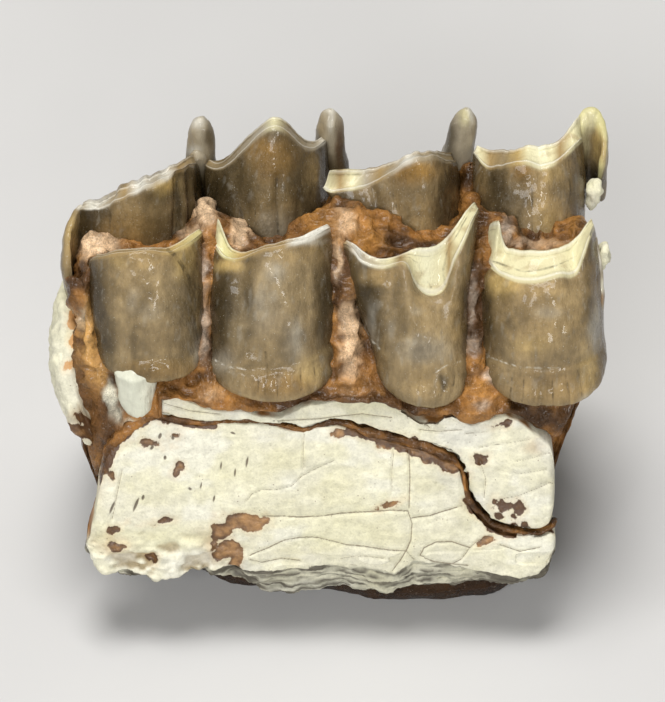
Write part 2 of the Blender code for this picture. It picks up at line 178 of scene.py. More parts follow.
def noise(points, size, seed=0):
    """Smooth noise from -1 to 1: random values on a lattice of this size, blended between each cell's corners."""
    scaled = points / np.asarray(size, float)
    base = np.floor(scaled).astype(np.int64)
    part = scaled - base
    part = part ** 3 * (part * (part * 6 - 15) + 10)
    total = np.zeros(points.shape[:-1])
    for corner in itertools.product((0, 1), repeat=3):
        weight = np.prod(np.where(np.array(corner, bool), part, 1 - part), axis=-1)
        total += weight * cell_value(base + np.array(corner), seed)
    return total * 2.0 - 1.0


def layered(points, size, octaves=4, seed=0):
    """Noise at this size with finer and fainter layers added, each half the size of the last."""
    size = np.asarray(size, float)
    total = np.zeros(points.shape[:-1])
    for octave in range(octaves):
        total += noise(points + 7.3 * octave, size / 2 ** octave, seed + octave) / 2 ** octave
    return total


def nearest_seeds(points, size, seed=0):
    """Distance to the nearest of scattered seeds, one in each lattice cell."""
    scaled = points / size
    base = np.floor(scaled).astype(np.int64)
    nearest = np.full(points.shape[:-1], FAR)
    for corner in itertools.product((-1, 0, 1), repeat=3):
        cell = base + np.array(corner)
        place = cell + np.stack([cell_value(cell, seed + k) for k in (11, 23, 37)], axis=-1)
        nearest = np.minimum(nearest, np.linalg.norm(scaled - place, axis=-1))
    return nearest * size


def seen_at(points):
    """Where the camera sees each point, in the photograph's pixels: across and down."""
    offset = points - EYE
    away = offset @ FORWARD
    across = PHOTO_WIDE / 2 + PIXELS_FOCAL * offset[..., 0] / away
    down = PHOTO_HIGH / 2 - PIXELS_FOCAL * (offset @ UPWARD) / away
    return across, down


def sight_slope(down):
    """How z changes with y along the line of sight at this height of the photograph."""
    rise = (PHOTO_HIGH / 2 - down) / PIXELS_FOCAL
    return (rise * COS_LOOK - SIN_LOOK) / (COS_LOOK + rise * SIN_LOOK)


def z_seen(y, down):
    """The z of a point this far back that is seen this far down the photograph."""
    return EYE[2] + (y - EYE[1]) * sight_slope(down)


def x_seen(across, y, z):
    """The x of a point at this y and z that is seen this far across the photograph."""
    away = (y - EYE[1]) * COS_LOOK - (z - EYE[2]) * SIN_LOOK
    return EYE[0] + (across - PHOTO_WIDE / 2) * away / PIXELS_FOCAL


def grid_quads(index):
    """The cells of a grid of vertex numbers whose rows close on themselves, as four corners each."""
    index = np.concatenate([index, index[:1]], axis=0)
    cells = (index[:-1, :-1], index[:-1, 1:], index[1:, 1:], index[1:, :-1])
    return np.stack(cells, axis=-1).reshape(-1, 4)


def signed_volume(points, quads):
    """The volume inside a closed surface, negative where its faces point inwards."""
    a, b, c, d = (points[quads[:, k]] for k in range(4))
    return (np.einsum("ij,ij->", a, np.cross(b, c)) + np.einsum("ij,ij->", a, np.cross(c, d))) / 6.0


def facing_sign(grid):
    """1 where the grid's cells, taken in order, face outwards, and -1 where they face inwards."""
    return 1.0 if signed_volume(grid.reshape(-1, 3), grid_quads(numbered(grid))) > 0 else -1.0


def outward(grid):
    """Unit normals of a closed grid: the cross product of its two directions, turned outwards."""
    rows = np.roll(grid, -1, axis=0) - np.roll(grid, 1, axis=0)
    columns = np.gradient(grid, axis=1)
    normal = np.cross(columns, rows) * facing_sign(grid)
    return normal / np.maximum(np.linalg.norm(normal, axis=-1, keepdims=True), 1e-9)


def roughened(grid, relief):
    """The grid moved outwards by a relief in mm."""
    return grid + outward(grid) * relief[..., None]


def rounded_ends(grid, away, radius):
    """The grid with its end columns drawn together as a quarter circle does. away is the distance to the nearer end."""
    middle = grid.mean(axis=0, keepdims=True)
    return middle + (grid - middle) * quarter_round(away, radius)[None, :, None]


def facing_camera(grid):
    """1 where the surface faces the camera, falling to 0 where it turns away."""
    towards = EYE - grid
    towards /= np.linalg.norm(towards, axis=-1, keepdims=True)
    return smooth_step(-0.05, 0.2, (outward(grid) * towards).sum(axis=-1))


Shell = namedtuple("Shell", "points quads marks")

# The marks of each finish besides its tint, and their values on a shell that has none.
PLAIN_MARKS = {
    "enamel": {"worn": 0.0, "dark_line": FAR, "pale_line": FAR},
    "bone": {"dark_line": FAR, "stain": FAR, "pit": FAR, "tone": FAR},
    "sediment": {"grain": 0.0},
}


def shell_from(grid, index, **marks):
    """A closed surface from a grid and its vertex numbers, its faces turned outwards."""
    points = grid.reshape(-1, 3)
    quads = grid_quads(index)
    if signed_volume(points, quads) < 0:
        quads = quads[:, ::-1]
    return Shell(points, quads, {name: value.reshape(len(points), -1) for name, value in marks.items()})


def closed_shell(grid, **marks):
    """A closed surface from a grid whose first and last columns are each drawn together into one point."""
    index = numbered(grid)
    index[:, 0] = index[0, 0]
    index[:, -1] = index[0, -1]
    return shell_from(grid, index, **marks)


def numbered(grid):
    """The number of each point of a grid."""
    return np.arange(grid[..., 0].size).reshape(grid.shape[:2])


def linked(name, data):
    """A new object in the scene."""
    thing = bpy.data.objects.new(name, data)
    bpy.context.scene.collection.objects.link(thing)
    return thing


def piece_from(name, shells, material, slot, *nodes):
    """One mesh from closed surfaces. A cell with two corners in one becomes a triangle, and unused points go."""
    starts = np.cumsum([0] + [len(shell.points) for shell in shells[:-1]])
    points = np.concatenate([shell.points for shell in shells])
    quads = np.concatenate([shell.quads + start for shell, start in zip(shells, starts)])
    kept = quads != np.roll(quads, -1, axis=1)
    whole = kept.sum(axis=1) >= 3
    sides = kept[whole].sum(axis=1)
    used, corners = np.unique(quads[whole][kept[whole]], return_inverse=True)

    mesh = bpy.data.meshes.new(name)
    mesh.vertices.add(len(used))
    mesh.vertices.foreach_set("co", (points[used] * MM).astype(np.float32).ravel())
    mesh.loops.add(len(corners))
    mesh.loops.foreach_set("vertex_index", corners.astype(np.int32))
    mesh.polygons.add(len(sides))
    mesh.polygons.foreach_set("loop_start", np.concatenate([[0], np.cumsum(sides)[:-1]]).astype(np.int32))
    mesh.polygons.foreach_set("loop_total", sides.astype(np.int32))
    tint = np.concatenate([shell.marks["tint"] for shell in shells])[used]
    layer = mesh.attributes.new("tint", "FLOAT_COLOR", "POINT")
    layer.data.foreach_set("color", np.insert(tint, 3, 1.0, axis=1).astype(np.float32).ravel())
    for mark, plain in PLAIN_MARKS[slot].items():
        values = [shell.marks.get(mark, np.full((len(shell.points), 1), plain)) for shell in shells]
        layer = mesh.attributes.new(mark, "FLOAT", "POINT")
        layer.data.foreach_set("value", np.concatenate(values)[used].astype(np.float32).ravel())
    mesh.update(calc_edges=True)
    mesh.validate()
    mesh.shade_smooth()
    mesh.materials.append(material)
    piece = linked(name, mesh)
    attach(piece, "root")
    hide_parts(*nodes)


# Marks that the photograph shows


def line_distance(across, down, lines):
    """Distance in mm to the edge of the nearest line, below 0 inside. A line is (half width, points)."""
    nearest = np.full(across.shape, FAR * PIXELS_PER_MM)
    for half_width, places in lines:
        for (x0, y0), (x1, y1) in zip(places, places[1:]):
            run = max((x1 - x0) ** 2 + (y1 - y0) ** 2, 1e-6)
            t = np.clip(((across - x0) * (x1 - x0) + (down - y0) * (y1 - y0)) / run, 0.0, 1.0)
            away = np.hypot(across - x0 - t * (x1 - x0), down - y0 - t * (y1 - y0))
            nearest = np.minimum(nearest, away - half_width)
    return nearest / PIXELS_PER_MM


def spot_distance(across, down, spots):
    """Distance in mm to the edge of the nearest oval, below 0 inside. A spot is (across, down, half sizes, lean)."""
    nearest = np.full(across.shape, FAR * PIXELS_PER_MM)
    for x, y, wide, high, lean in spots:
        turn = math.radians(lean)
        u = (across - x) * math.cos(turn) + (down - y) * math.sin(turn)
        v = (down - y) * math.cos(turn) - (across - x) * math.sin(turn)
        nearest = np.minimum(nearest, (np.hypot(u / wide, v / high) - 1.0) * min(wide, high))
    return nearest / PIXELS_PER_MM


def brushed(tint, strokes, across, down, fade=1.0):
    """Lays soft oval strokes over the colours. A stroke is (colour, strength, across, down, half sizes)."""
    for colour, strength, x, y, wide, high in strokes:
        away = ((across - x) / wide) ** 2 + ((down - y) / high) ** 2
        cover = strength * np.exp(-away ** 1.5) * fade
        tint += (np.array(colour) - tint) * cover[..., None]
    return tint


def painted(grid, tint, strokes, seed, fade=1.0):
    """Lays strokes over the tint where the camera sees them, their edges swayed by two pixels of noise."""
    across, down = seen_at(grid)
    return brushed(tint, strokes, across + 2 * noise(grid, 0.8, seed), down + 2 * noise(grid, 0.8, seed + 1), fade)


def mixed(first, second, share):
    """Colours between two, by an array of shares."""
    share = np.asarray(share)[..., None]
    return np.asarray(first) * (1.0 - share) + np.asarray(second) * share


# Molars

# A cusp is a crescent wall, convex towards the palate. crest and foot are each (left, apex, right).
# thick is the wall at the crest, facet its lift towards the inner edge, pit the level where the wall has become
# solid, back the y of the solid crown there, fall how slowly it thickens on the way down, bulge the swelling of
# the wall and collar the ledge round its foot. peak is 1 where the crest runs straight up to a point.
# rim and inner_rim follow the two edges of the worn facet in the photograph; jag roughens them. deep lays painted
# shade over the whole face, most on the rear molar's outer cusps, whose faces lie in shadow, and waist draws its left
# and right sides in between crest and foot. The strokes lay the face's own colours, painted shade (the dark olive and
# dusk strokes down its sides and in its furrows) and painted highlights (most of the pale grey strokes).
Cusp = namedtuple(
    "Cusp", "crest foot thick facet pit back fall bulge collar peak rim inner_rim jag worn strokes cracks ribs "
    "pale ledges deep waist", defaults=((), (), 0.0, (0.0, 0.0)),
)

REAR_HIND_INNER = Cusp(
    crest=((-15.6, -2.8, 24.3), (-12.0, -5.0, 26.5), (-8.3, -1.4, 25.6)),
    foot=((-14.8, -5.6, 18.1), (-11.7, -8.0, 17.8), (-8.4, -5.4, 17.9)),
    thick=1.1, facet=0.1, pit=22.3, back=0.5, fall=1.2, bulge=0.5, collar=0.25, peak=2.2,
    rim=((84, 266), (92, 258), (102, 256), (116, 253), (135, 251), (152, 250), (168, 252), (180, 247), (193, 240),
         (207, 228)),
    inner_rim=((84, 262), (92, 255), (102, 254), (116, 250), (135, 248), (152, 247), (168, 247), (180, 241),
               (193, 232), (207, 224)),
    jag=0.03,
    worn=((84, TAUPE), (112, TAN), (160, TAN), (172, HONEY), (207, BUTTER)),
    strokes=(
        (OLIVE, 0.9, 94, 302, 17, 62), (TAN, 0.8, 140, 256, 34, 12), (HONEY, 0.75, 184, 258, 11, 20),
        (TAN, 0.35, 142, 285, 22, 28), (GREY_AND_GLINT, 0.25, 133, 300, 6, 12), (GREY_AND_GLINT, 0.2, 150, 312, 12, 9),
        (DUSK, 0.35, 172, 318, 8, 30),
        (DUSK, 0.75, 188, 305, 12, 50), (OLIVE, 0.5, 134, 348, 4, 18), (AMBER, 0.6, 160, 370, 34, 9),
        (TAN, 0.25, 160, 368, 28, 7), (DUSK, 0.35, 160, 370, 34, 9), (TAN, 0.2, 165, 345, 18, 18),
        (GREY_AND_GLINT, 0.45, 196, 352, 5, 18), (OLIVE, 0.6, 108, 345, 10, 20), (HONEY, 0.3, 118, 262, 8, 7),
    ),
    cracks=((1.6, ((168, 250), (174, 255), (182, 265), (188, 276), (192, 292))),
            (0.3, ((197, 262), (195, 290), (196, 330), (198, 350)))),
    ledges=((0.10, ((130, 364), (150, 360), (168, 360), (186, 359), (200, 352))),),
    ribs=((-0.14, 4.0, ((136, 330), (133, 350), (131, 372))), (0.10, 6.0, ((168, 256), (181, 270), (189, 290)))),
)
REAR_FRONT_INNER = Cusp(
    crest=((-7.6, -1.5, 26.0), (-3.9, -4.7, 26.8), (-0.1, -1.6, 26.0)),
    foot=((-7.8, -5.2, 17.0), (-3.8, -8.3, 16.5), (0.2, -5.2, 17.0)),
    thick=1.2, facet=0.1, pit=22.0, back=0.5, fall=1.2, bulge=0.5, collar=0.5, peak=2.2,
    rim=((209, 240), (214, 246), (221, 254), (232, 259), (243, 257), (252, 253), (266, 248), (282, 245), (300, 241),
         (316, 235), (333, 226)),
    inner_rim=((209, 230), (213, 220), (219, 220), (223, 230), (228, 242), (235, 250), (243, 252), (252, 250),
               (266, 245),
               (282, 241), (300, 236), (316, 229), (333, 221)),
    jag=0.04,
    worn=((208, HONEY), (215, CREAM), (226, BUTTER), (240, HONEY), (256, TAN), (284, TAN), (294, CHALK),
    (333, CHALK)),
    strokes=(
        (OLIVE, 0.9, 224, 308, 22, 54), (HONEY, 0.6, 228, 266, 17, 7), (GREY_AND_GLINT, 0.35, 274, 272, 12, 12),
        (GREY_AND_GLINT, 0.2, 262, 310, 20, 26), (GREY_AND_GLINT, 0.25, 294, 342, 12, 24), (TAN, 0.6, 312, 248, 16, 15),
        (TAN, 0.4, 286, 256, 18, 9), (OLIVE, 0.8, 325, 305, 11, 46), (OLIVE, 0.55, 249, 292, 7, 44),
        (GREY_AND_GLINT, 0.3, 297, 336, 5, 18), (GREY_AND_GLINT, 0.2, 262, 300, 5, 12), (DUSK, 0.4, 306, 330, 4, 30),
        (AMBER, 0.5, 282, 385, 34, 12), (DUSK, 0.3, 262, 368, 30, 8), (GREY_AND_GLINT, 0.35, 222, 362, 14, 12),
        (HONEY, 0.35, 310, 372, 14, 16), (DUSK, 0.35, 262, 352, 6, 16), (CHALK, 0.35, 306, 241, 22, 4),
        (TAUPE, 0.5, 240, 330, 12, 30),
    ),
    cracks=((0.8, ((265, 352), (266, 372), (265, 394))), (0.6, ((258, 374), (257, 392))),
            (0.6, ((276, 376), (276, 396))), (0.6, ((300, 368), (301, 390))), (0.5, ((240, 378), (239, 388))),
            (0.5, ((312, 362), (315, 382)))),
    pale=((0.8, ((209, 357), (218, 363), (230, 368), (246, 370))),),
    ledges=((0.16, ((204, 356), (218, 363), (232, 369), (256, 372), (280, 370), (304, 362), (324, 350),
    (340, 340))),),
    ribs=((-0.26, 8.0, ((244, 262), (240, 290), (246, 330), (252, 352))), (-0.10, 5.0, ((264, 330), (262, 372))),
          (0.22, 12.0, ((268, 268), (284, 300), (288, 330))),
          (0.10, 8.0, ((226, 270), (222, 310), (224, 345))), (-0.12, 6.0, ((318, 262), (322, 300), (316, 345)))),
)
REAR_HIND_OUTER = Cusp(
    crest=((-16.3, 0.6, 26.1), (-12.4, 0.2, 27.2), (-8.8, 6.2, 27.0)),
    foot=((-16.1, 1.6, 18.1), (-12.2, -2.5, 17.7), (-8.4, 4.6, 18.3)),
    thick=1.3, facet=-0.2, pit=17.0, back=7.0, fall=0.6, bulge=0.3, collar=0.0, peak=1.6,
    rim=((72, 220), (78, 211), (86, 208), (100, 207), (114, 201), (130, 194), (146, 186), (158, 181), (172, 174),
         (182, 169), (190, 164)),
    inner_rim=((66, 222), (74, 209), (84, 203), (100, 201), (114, 193), (126, 186), (134, 184), (142, 181),
               (158, 174), (172, 167), (182, 161), (190, 156)),
    jag=0.1,
    worn=((60, TAUPE), (80, TAUPE), (92, CHALK), (112, ASH), (125, TAN), (138, CHALK), (156, ASH), (168, CHALK),
          (178, TAN), (200, TAUPE)),
    strokes=(
        (OLIVE, 0.75, 92, 222, 22, 18), (HONEY, 0.95, 162, 185, 17, 9), (DUSK, 0.75, 146, 220, 24, 26),
        (OLIVE, 0.8, 178, 205, 4, 38), (DUSK, 0.7, 188, 200, 5, 36), (TAN, 0.3, 132, 212, 20, 24),
        (AMBER, 0.3, 128, 232, 28, 18), (TAN, 0.35, 74, 240, 9, 24),
    ),
    cracks=((0.7, ((177, 178), (176, 200), (175, 236))), (0.6, ((186, 172), (187, 200), (189, 232))),
            (0.5, ((110, 212), (111, 240)))),
    ribs=((0.20, 3.0, ((184, 172), (183, 205), (182, 240))), (0.16, 2.6, ((192, 168), (192, 200), (190, 236))),
          (-0.16, 2.4, ((177, 172), (176, 205), (175, 240))), (0.10, 10.0, ((160, 184), (150, 192)))),
    deep=0.55,
)
REAR_FRONT_OUTER = Cusp(
    crest=((-8.3, 6.1, 26.8), (-3.9, 3.2, 30.3), (-0.4, 6.4, 27.4)),
    foot=((-8.2, 4.6, 18.0), (-3.9, -2.5, 17.6), (-0.2, 4.6, 18.2)),
    thick=1.3, facet=-0.3, pit=17.0, back=7.6, fall=0.6, bulge=0.3, collar=0.0, peak=1.1,
    rim=((200, 160), (206, 166), (216, 169), (228, 164), (238, 155), (248, 145), (258, 135), (268, 128), (278, 126),
         (286, 130), (294, 138), (304, 146), (316, 147), (326, 140)),
    inner_rim=((200, 152), (208, 159), (218, 163), (230, 155), (240, 144), (250, 134), (262, 124), (272, 117),
               (282, 118), (290, 125), (300, 135), (312, 141), (322, 136), (328, 128)),
    jag=0.05,
    worn=((200, TAUPE), (236, TAUPE), (262, ASH), (274, CREAM), (288, TAUPE), (316, ASH), (330, CHALK)),
    strokes=(
        (OLIVE, 0.9, 222, 205, 20, 42), (AMBER, 0.45, 272, 158, 24, 24), (TAN, 0.35, 275, 208, 20, 26),
        (DUSK, 0.6, 243, 195, 10, 36), (TAN, 0.45, 312, 172, 10, 20), (OLIVE, 0.6, 306, 196, 8, 22),
        (AMBER, 0.3, 262, 148, 16, 10), (GREY_AND_GLINT, 0.25, 275, 225, 18, 14),
    ),
    cracks=((0.9, ((277, 178), (277, 200), (278, 236))), (0.6, ((232, 172), (238, 200), (245, 238))),
            (0.5, ((256, 196), (254, 238)))),
    ribs=((-0.14, 4.0, ((277, 176), (277, 205), (278, 238))), (-0.16, 7.0, ((236, 165), (243, 195), (250, 236))),
          (-0.14, 6.0, ((308, 158), (304, 190), (300, 225)))),
    deep=0.68,
)
FRONT_HIND_INNER = Cusp(
    crest=((0.7, -2.5, 25.1), (5.3, -5.0, 25.8), (9.4, -0.4, 26.5)),
    foot=((3.2, -5.6, 16.8), (6.3, -8.5, 16.1), (8.8, -5.6, 16.8)),
    thick=1.3, facet=0.1, pit=21.8, back=0.5, fall=1.2, bulge=0.6, collar=0.35, peak=2.2,
    rim=((346, 244), (353, 250), (360, 259), (370, 264), (384, 266), (396, 263), (404, 262), (409, 267), (413, 279),
         (420, 290), (429, 295), (438, 294), (445, 288), (450, 276), (454, 262), (462, 244), (470, 226), (480, 206)),
    inner_rim=((346, 240), (356, 245), (366, 253), (378, 258), (392, 257), (404, 253), (416, 248), (430, 247),
               (438, 244), (448, 235), (458, 222), (466, 211), (474, 202), (480, 199)),
    jag=0.03,
    worn=((344, TAN), (358, CHALK), (390, CREAM), (400, TAN), (412, CREAM), (426, LEMON), (444, CREAM), (449, TAN),
          (456, CREAM), (480, CREAM)),
    strokes=(
        (OLIVE, 0.9, 368, 300, 19, 50), (TAN, 0.75, 384, 276, 22, 9), (DUSK, 0.5, 398, 300, 8, 34),
        (TAN, 0.3, 430, 330, 24, 36),
        (TAN, 0.5, 456, 318, 6, 44), (GREY_AND_GLINT, 0.3, 391, 332, 4, 9), (GREY_AND_GLINT, 0.25, 418, 312, 6, 4),
        (DUSK, 0.4, 402, 330, 5, 22),
        (TAN, 0.4, 430, 384, 28, 16), (GREY_AND_GLINT, 0.35, 425, 350, 26, 14), (OLIVE, 0.7, 443, 384, 4, 8),
        (GREY_AND_GLINT, 0.3, 372, 322, 4, 22), (DUSK, 0.35, 388, 352, 10, 14),
    ),
    cracks=((0.4, ((398, 258), (410, 257), (419, 264), (424, 276), (431, 287))),
            (0.4, ((445, 285), (443, 270), (447, 252), (458, 232), (474, 206))),
            (0.7, ((441, 376), (443, 388), (441, 396))), (0.5, ((420, 372), (418, 392))),
            (0.5, ((454, 374), (452, 392)))),
    pale=((0.7, ((352, 304), (362, 326), (372, 342), (380, 350))), (0.6, ((436, 373), (446, 367), (468, 360)))),
    ledges=((0.10, ((428, 380), (440, 370), (454, 364), (474, 358))),),
    ribs=((-0.14, 8.0, ((392, 270), (394, 300), (398, 335))), (-0.12, 5.0, ((362, 270), (368, 305), (380, 345)))),
    waist=(0.0, 0.55),
)
FRONT_FRONT_INNER = Cusp(
    crest=((9.8, -1.2, 25.7), (13.6, -5.5, 24.8), (16.8, -0.9, 25.9)),
    foot=((9.9, -5.4, 16.8), (13.9, -8.5, 16.2), (17.5, -5.0, 16.8)),
    thick=2.0, facet=0.6, pit=21.8, back=0.5, fall=1.2, bulge=0.6, collar=0.45, peak=2.2,
    rim=((478, 240), (482, 250), (487, 261), (495, 270), (506, 276), (518, 280), (534, 281), (550, 277), (562, 274),
         (572, 275), (579, 268), (584, 252), (589, 236), (597, 220)),
    inner_rim=((478, 236), (484, 231), (490, 224), (496, 221), (500, 224), (502, 234), (505, 243), (514, 248),
               (532, 250), (556, 248), (570, 242), (579, 234), (587, 223), (595, 216)),
    jag=0.03,
    worn=((480, CREAM), (500, CREAM), (600, CREAM)),
    strokes=(
        (HONEY, 0.85, 503, 284, 18, 13), (OLIVE, 0.75, 488, 318, 9, 32), (DUSK, 0.5, 502, 322, 8, 34),
        (TAN, 0.4, 545, 320, 34, 34), (TAN, 0.5, 540, 288, 26, 9), (GREY_AND_GLINT, 0.3, 549, 312, 14, 7),
        (DUSK, 0.3, 528, 318, 8, 16),
        (GREY_AND_GLINT, 0.6, 596, 325, 7, 24), (DUSK, 0.4, 588, 300, 6, 26), (AMBER, 0.22, 540, 385, 42, 18),
        (TAN, 0.4, 560, 392, 30, 12), (HONEY, 0.3, 588, 372, 12, 24), (HONEY, 0.3, 530, 345, 20, 10),
        (CHALK, 0.3, 590, 402, 10, 8),
    ),
    cracks=((0.5, ((486, 259), (498, 263), (512, 268), (526, 272), (540, 270), (556, 266), (576, 256))),
            (0.4, ((512, 378), (510, 398))), (0.4, ((524, 376), (523, 402))), (0.4, ((540, 378), (541, 406))),
            (0.4, ((552, 378), (554, 408))), (0.4, ((566, 374), (569, 404))), (0.4, ((578, 370), (582, 396)))),
    pale=((0.6, ((480, 352), (492, 359), (506, 364), (520, 368), (540, 369), (562, 369))),),
    ledges=((0.12, ((472, 348), (492, 360), (506, 365), (520, 369), (545, 370), (572, 366), (604, 352))),),
    ribs=((-0.10, 7.0, ((500, 290), (503, 320), (512, 350))), (0.08, 14.0, ((548, 300), (548, 345)))),
)
FRONT_HIND_OUTER = Cusp(
    crest=((-0.6, 2.3, 27.0), (5.2, 2.0, 26.9), (8.0, 6.2, 27.3)),
    foot=((2.4, 3.6, 18.1), (5.4, -2.5, 17.7), (8.6, 4.6, 18.3)),
    thick=1.5, facet=-0.2, pit=17.0, back=7.6, fall=0.6, bulge=0.3, collar=0.0, peak=2.0,
    rim=((320, 186), (328, 191), (344, 190), (360, 187), (376, 181), (392, 171), (408, 160), (424, 157), (438, 156),
         (446, 160)),
    inner_rim=((320, 176), (328, 171), (344, 170), (360, 170), (376, 167), (392, 162), (408, 154), (424, 152),
               (438, 151), (446, 153)),
    jag=0.07,
    worn=((318, CHALK), (330, CREAM), (340, TAN), (352, CREAM), (366, ASH), (380, TAN), (392, ASH), (408, CHALK),
          (420, ASH), (448, TAUPE)),
    strokes=(
        (AMBER, 0.85, 415, 172, 24, 12), (DUSK, 0.6, 352, 198, 18, 8), (OLIVE, 0.7, 340, 200, 14, 10),
        (OLIVE, 0.75, 374, 220, 16, 22), (TAN, 0.45, 414, 218, 22, 26), (OLIVE, 0.65, 444, 205, 8, 34),
        (DUSK, 0.45, 384, 192, 10, 12), (CHALK, 0.7, 334, 184, 14, 5),
    ),
    cracks=((0.6, ((372, 186), (376, 206), (384, 232))), (0.5, ((390, 186), (398, 210)))),
    ribs=((-0.10, 5.0, ((372, 184), (377, 208), (385, 236))), (-0.07, 4.0, ((390, 184), (398, 214)))),
    deep=0.10,
)
FRONT_FRONT_OUTER = Cusp(
    crest=((9.2, 6.0, 27.2), (13.0, 2.8, 27.3), (16.3, 6.2, 27.8)),
    foot=((9.4, 4.6, 18.0), (13.2, -2.5, 17.6), (16.6, 4.6, 18.2)),
    thick=1.6, facet=-0.2, pit=17.0, back=7.6, fall=0.6, bulge=0.3, collar=0.0, peak=2.0,
    rim=((472, 150), (480, 160), (488, 167), (500, 166), (514, 162), (528, 162), (540, 166), (552, 164), (562, 157),
         (572, 148), (582, 140)),
    inner_rim=((472, 140), (480, 146), (488, 149), (500, 150), (514, 149), (528, 145), (540, 146), (552, 143),
               (562, 137), (572, 124), (582, 112)),
    jag=0.06,
    worn=((470, CHALK), (480, CREAM), (490, TAN), (504, TAUPE), (518, HONEY), (528, CREAM), (540, LEMON),
          (552, CREAM), (560, TAN), (572, CREAM), (590, CREAM)),
    strokes=(
        (OLIVE, 0.85, 500, 195, 15, 32), (AMBER, 0.8, 523, 170, 9, 12), (TAN, 0.6, 545, 205, 16, 36),
        (DUSK, 0.55, 522, 205, 8, 30), (DUSK, 0.7, 575, 190, 6, 34), (HONEY, 0.35, 552, 172, 12, 12),
        (HONEY, 0.3, 545, 225, 12, 14),
    ),
    cracks=((0.6, ((530, 178), (532, 200), (531, 232))), (0.6, ((568, 160), (570, 190), (567, 220)))),
    ribs=((0.10, 9.0, ((548, 172), (547, 200), (546, 236))), (-0.10, 8.0, ((520, 184), (518, 210), (520, 236)))),
    deep=0.08,
)

# A style is a rounded pillar: tip, base, radius at the tip and at the base, the colour of its tip and the level
# from which it spreads, strokes.
Style = namedtuple("Style", "tip base r_tip r_base shade shade_from strokes")

REAR_STYLES = (
    Style((-8.55, 6.9, 27.6), (-8.7, 7.2, 16.6), 0.74, 1.9, ASH, 0.7,
          ((CHALK, 0.6, 198, 122, 7, 6), (DUSK, 0.8, 211, 138, 6, 16), (TAUPE, 0.7, 190, 138, 7, 9),
           (CHALK, 0.6, 195, 151, 6, 5), (OLIVE, 0.7, 200, 172, 14, 14), (DUSK, 0.5, 187, 160, 5, 8))),
    Style((-0.1, 6.9, 28.2), (-0.2, 7.2, 16.6), 0.76, 2.0, ASH, 0.7,
          ((CHALK, 0.5, 330, 108, 6, 6), (UMBER, 0.85, 340, 148, 5, 26), (TAUPE, 0.7, 321, 128, 6, 16),
           (OLIVE, 0.6, 350, 158, 6, 18), (CHALK, 0.45, 331, 120, 3, 12), (DUSK, 0.5, 318, 150, 6, 12))),
    Style((-8.8, 6.1, 25.5), (-8.7, 6.1, 20.0), 0.55, 0.9, ASH, 0.7, ((TAUPE, 0.7, 190, 158, 5, 6),)),
)
FRONT_STYLES = (
    Style((8.75, 7.0, 28.2), (7.3, 7.3, 16.6), 0.72, 2.4, ASH, 0.55,
          ((CHALK, 0.6, 470, 112, 4, 10), (OLIVE, 0.75, 450, 136, 8, 20), (TAUPE, 0.5, 476, 126, 4, 18),
           (BUTTER, 0.4, 464, 116, 5, 12))),
)
# The exposed neck of the rear molar's inner root: its tip points up into the crown.
ROOT_NECK = Style((-12.75, -7.0, 18.8), (-12.4, -7.7, 15.0), 1.5, 0.85, ROOTY, 0.0, ((IVORY, 0.5, 150, 392, 10, 12),))

# A fold is an upright wall of enamel. Each place along it is x, y, upper z, lower z and thickness; lean pushes its
# middle outwards.
Fold = namedtuple("Fold", "places lean shade strokes")

# Its dark olive strokes are painted shade, most of all in the hollow where it meets the crown.
REAR_FOLD = Fold(
    ((-15.7, 1.1, 25.0, 18.0, 0.5), (-16.3, 0.7, 25.2, 18.0, 0.6), (-16.75, 0.0, 24.6, 18.6, 0.7),
     (-16.95, -1.0, 24.2, 19.2, 0.7), (-16.95, -1.9, 23.5, 19.6, 0.65), (-16.7, -2.8, 22.2, 19.8, 0.5)),
    0.15, TAUPE,
    ((HONEY, 0.6, 72, 236, 6, 22), (TAN, 0.5, 68, 254, 5, 22), (OLIVE, 0.7, 89, 232, 9, 22),
     (OLIVE, 0.6, 80, 278, 10, 14), (CHALK, 0.6, 82, 206, 10, 4)),
)
EDGE_STRIP = Fold(
    ((16.7, -1.6, 25.4, 20.5, 0.25), (17.05, -2.4, 24.4, 18.6, 0.35), (17.3, -3.4, 22.6, 17.6, 0.4),
     (17.25, -4.4, 20.4, 17.3, 0.3)),
    0.0, ASH, ((CHALK, 0.7, 600, 318, 6, 8), (CHALK, 0.8, 597, 262, 5, 10), (IVORY, 0.8, 600, 288, 5, 8),
               (RUST, 0.6, 600, 300, 5, 6), (CHALK, 0.8, 598, 335, 6, 9)),
)
FRONT_FOLD = Fold(
    ((15.0, 5.3, 26.2, 17.0, 0.7), (15.9, 6.2, 27.3, 17.0, 0.9), (16.6, 6.9, 28.3, 20.0, 1.1),
     (17.15, 6.8, 28.3, 21.5, 1.0), (17.6, 6.2, 27.5, 22.0, 0.7), (17.75, 5.4, 26.5, 22.0, 0.5),
     (17.4, 4.6, 25.4, 22.0, 0.4)),
    0.0, BUTTER,
    ((CREAM, 0.85, 588, 120, 9, 12), (CREAM, 0.5, 584, 142, 5, 14), (HONEY, 0.8, 599, 146, 7, 18),
     (CREAM, 0.4, 609, 134, 3, 12), (OLIVE, 0.75, 594, 176, 16, 10), (TAUPE, 0.6, 574, 136, 5, 14),
     (TAN, 0.6, 604, 152, 4, 16)),
)

# Blocks under the crowns: x from, x to, y from, y to. Then the height and the share of the size of each ring.
REAR_BLOCK = (-15.7, -0.5, -6.2, 7.2)
FRONT_BLOCK = (1.0, 16.7, -6.2, 7.4)
BLOCK_RINGS = ((14.6, 0.78), (16.2, 0.88), (17.2, 0.88), (18.4, 0.66), (21.3, 0.58))

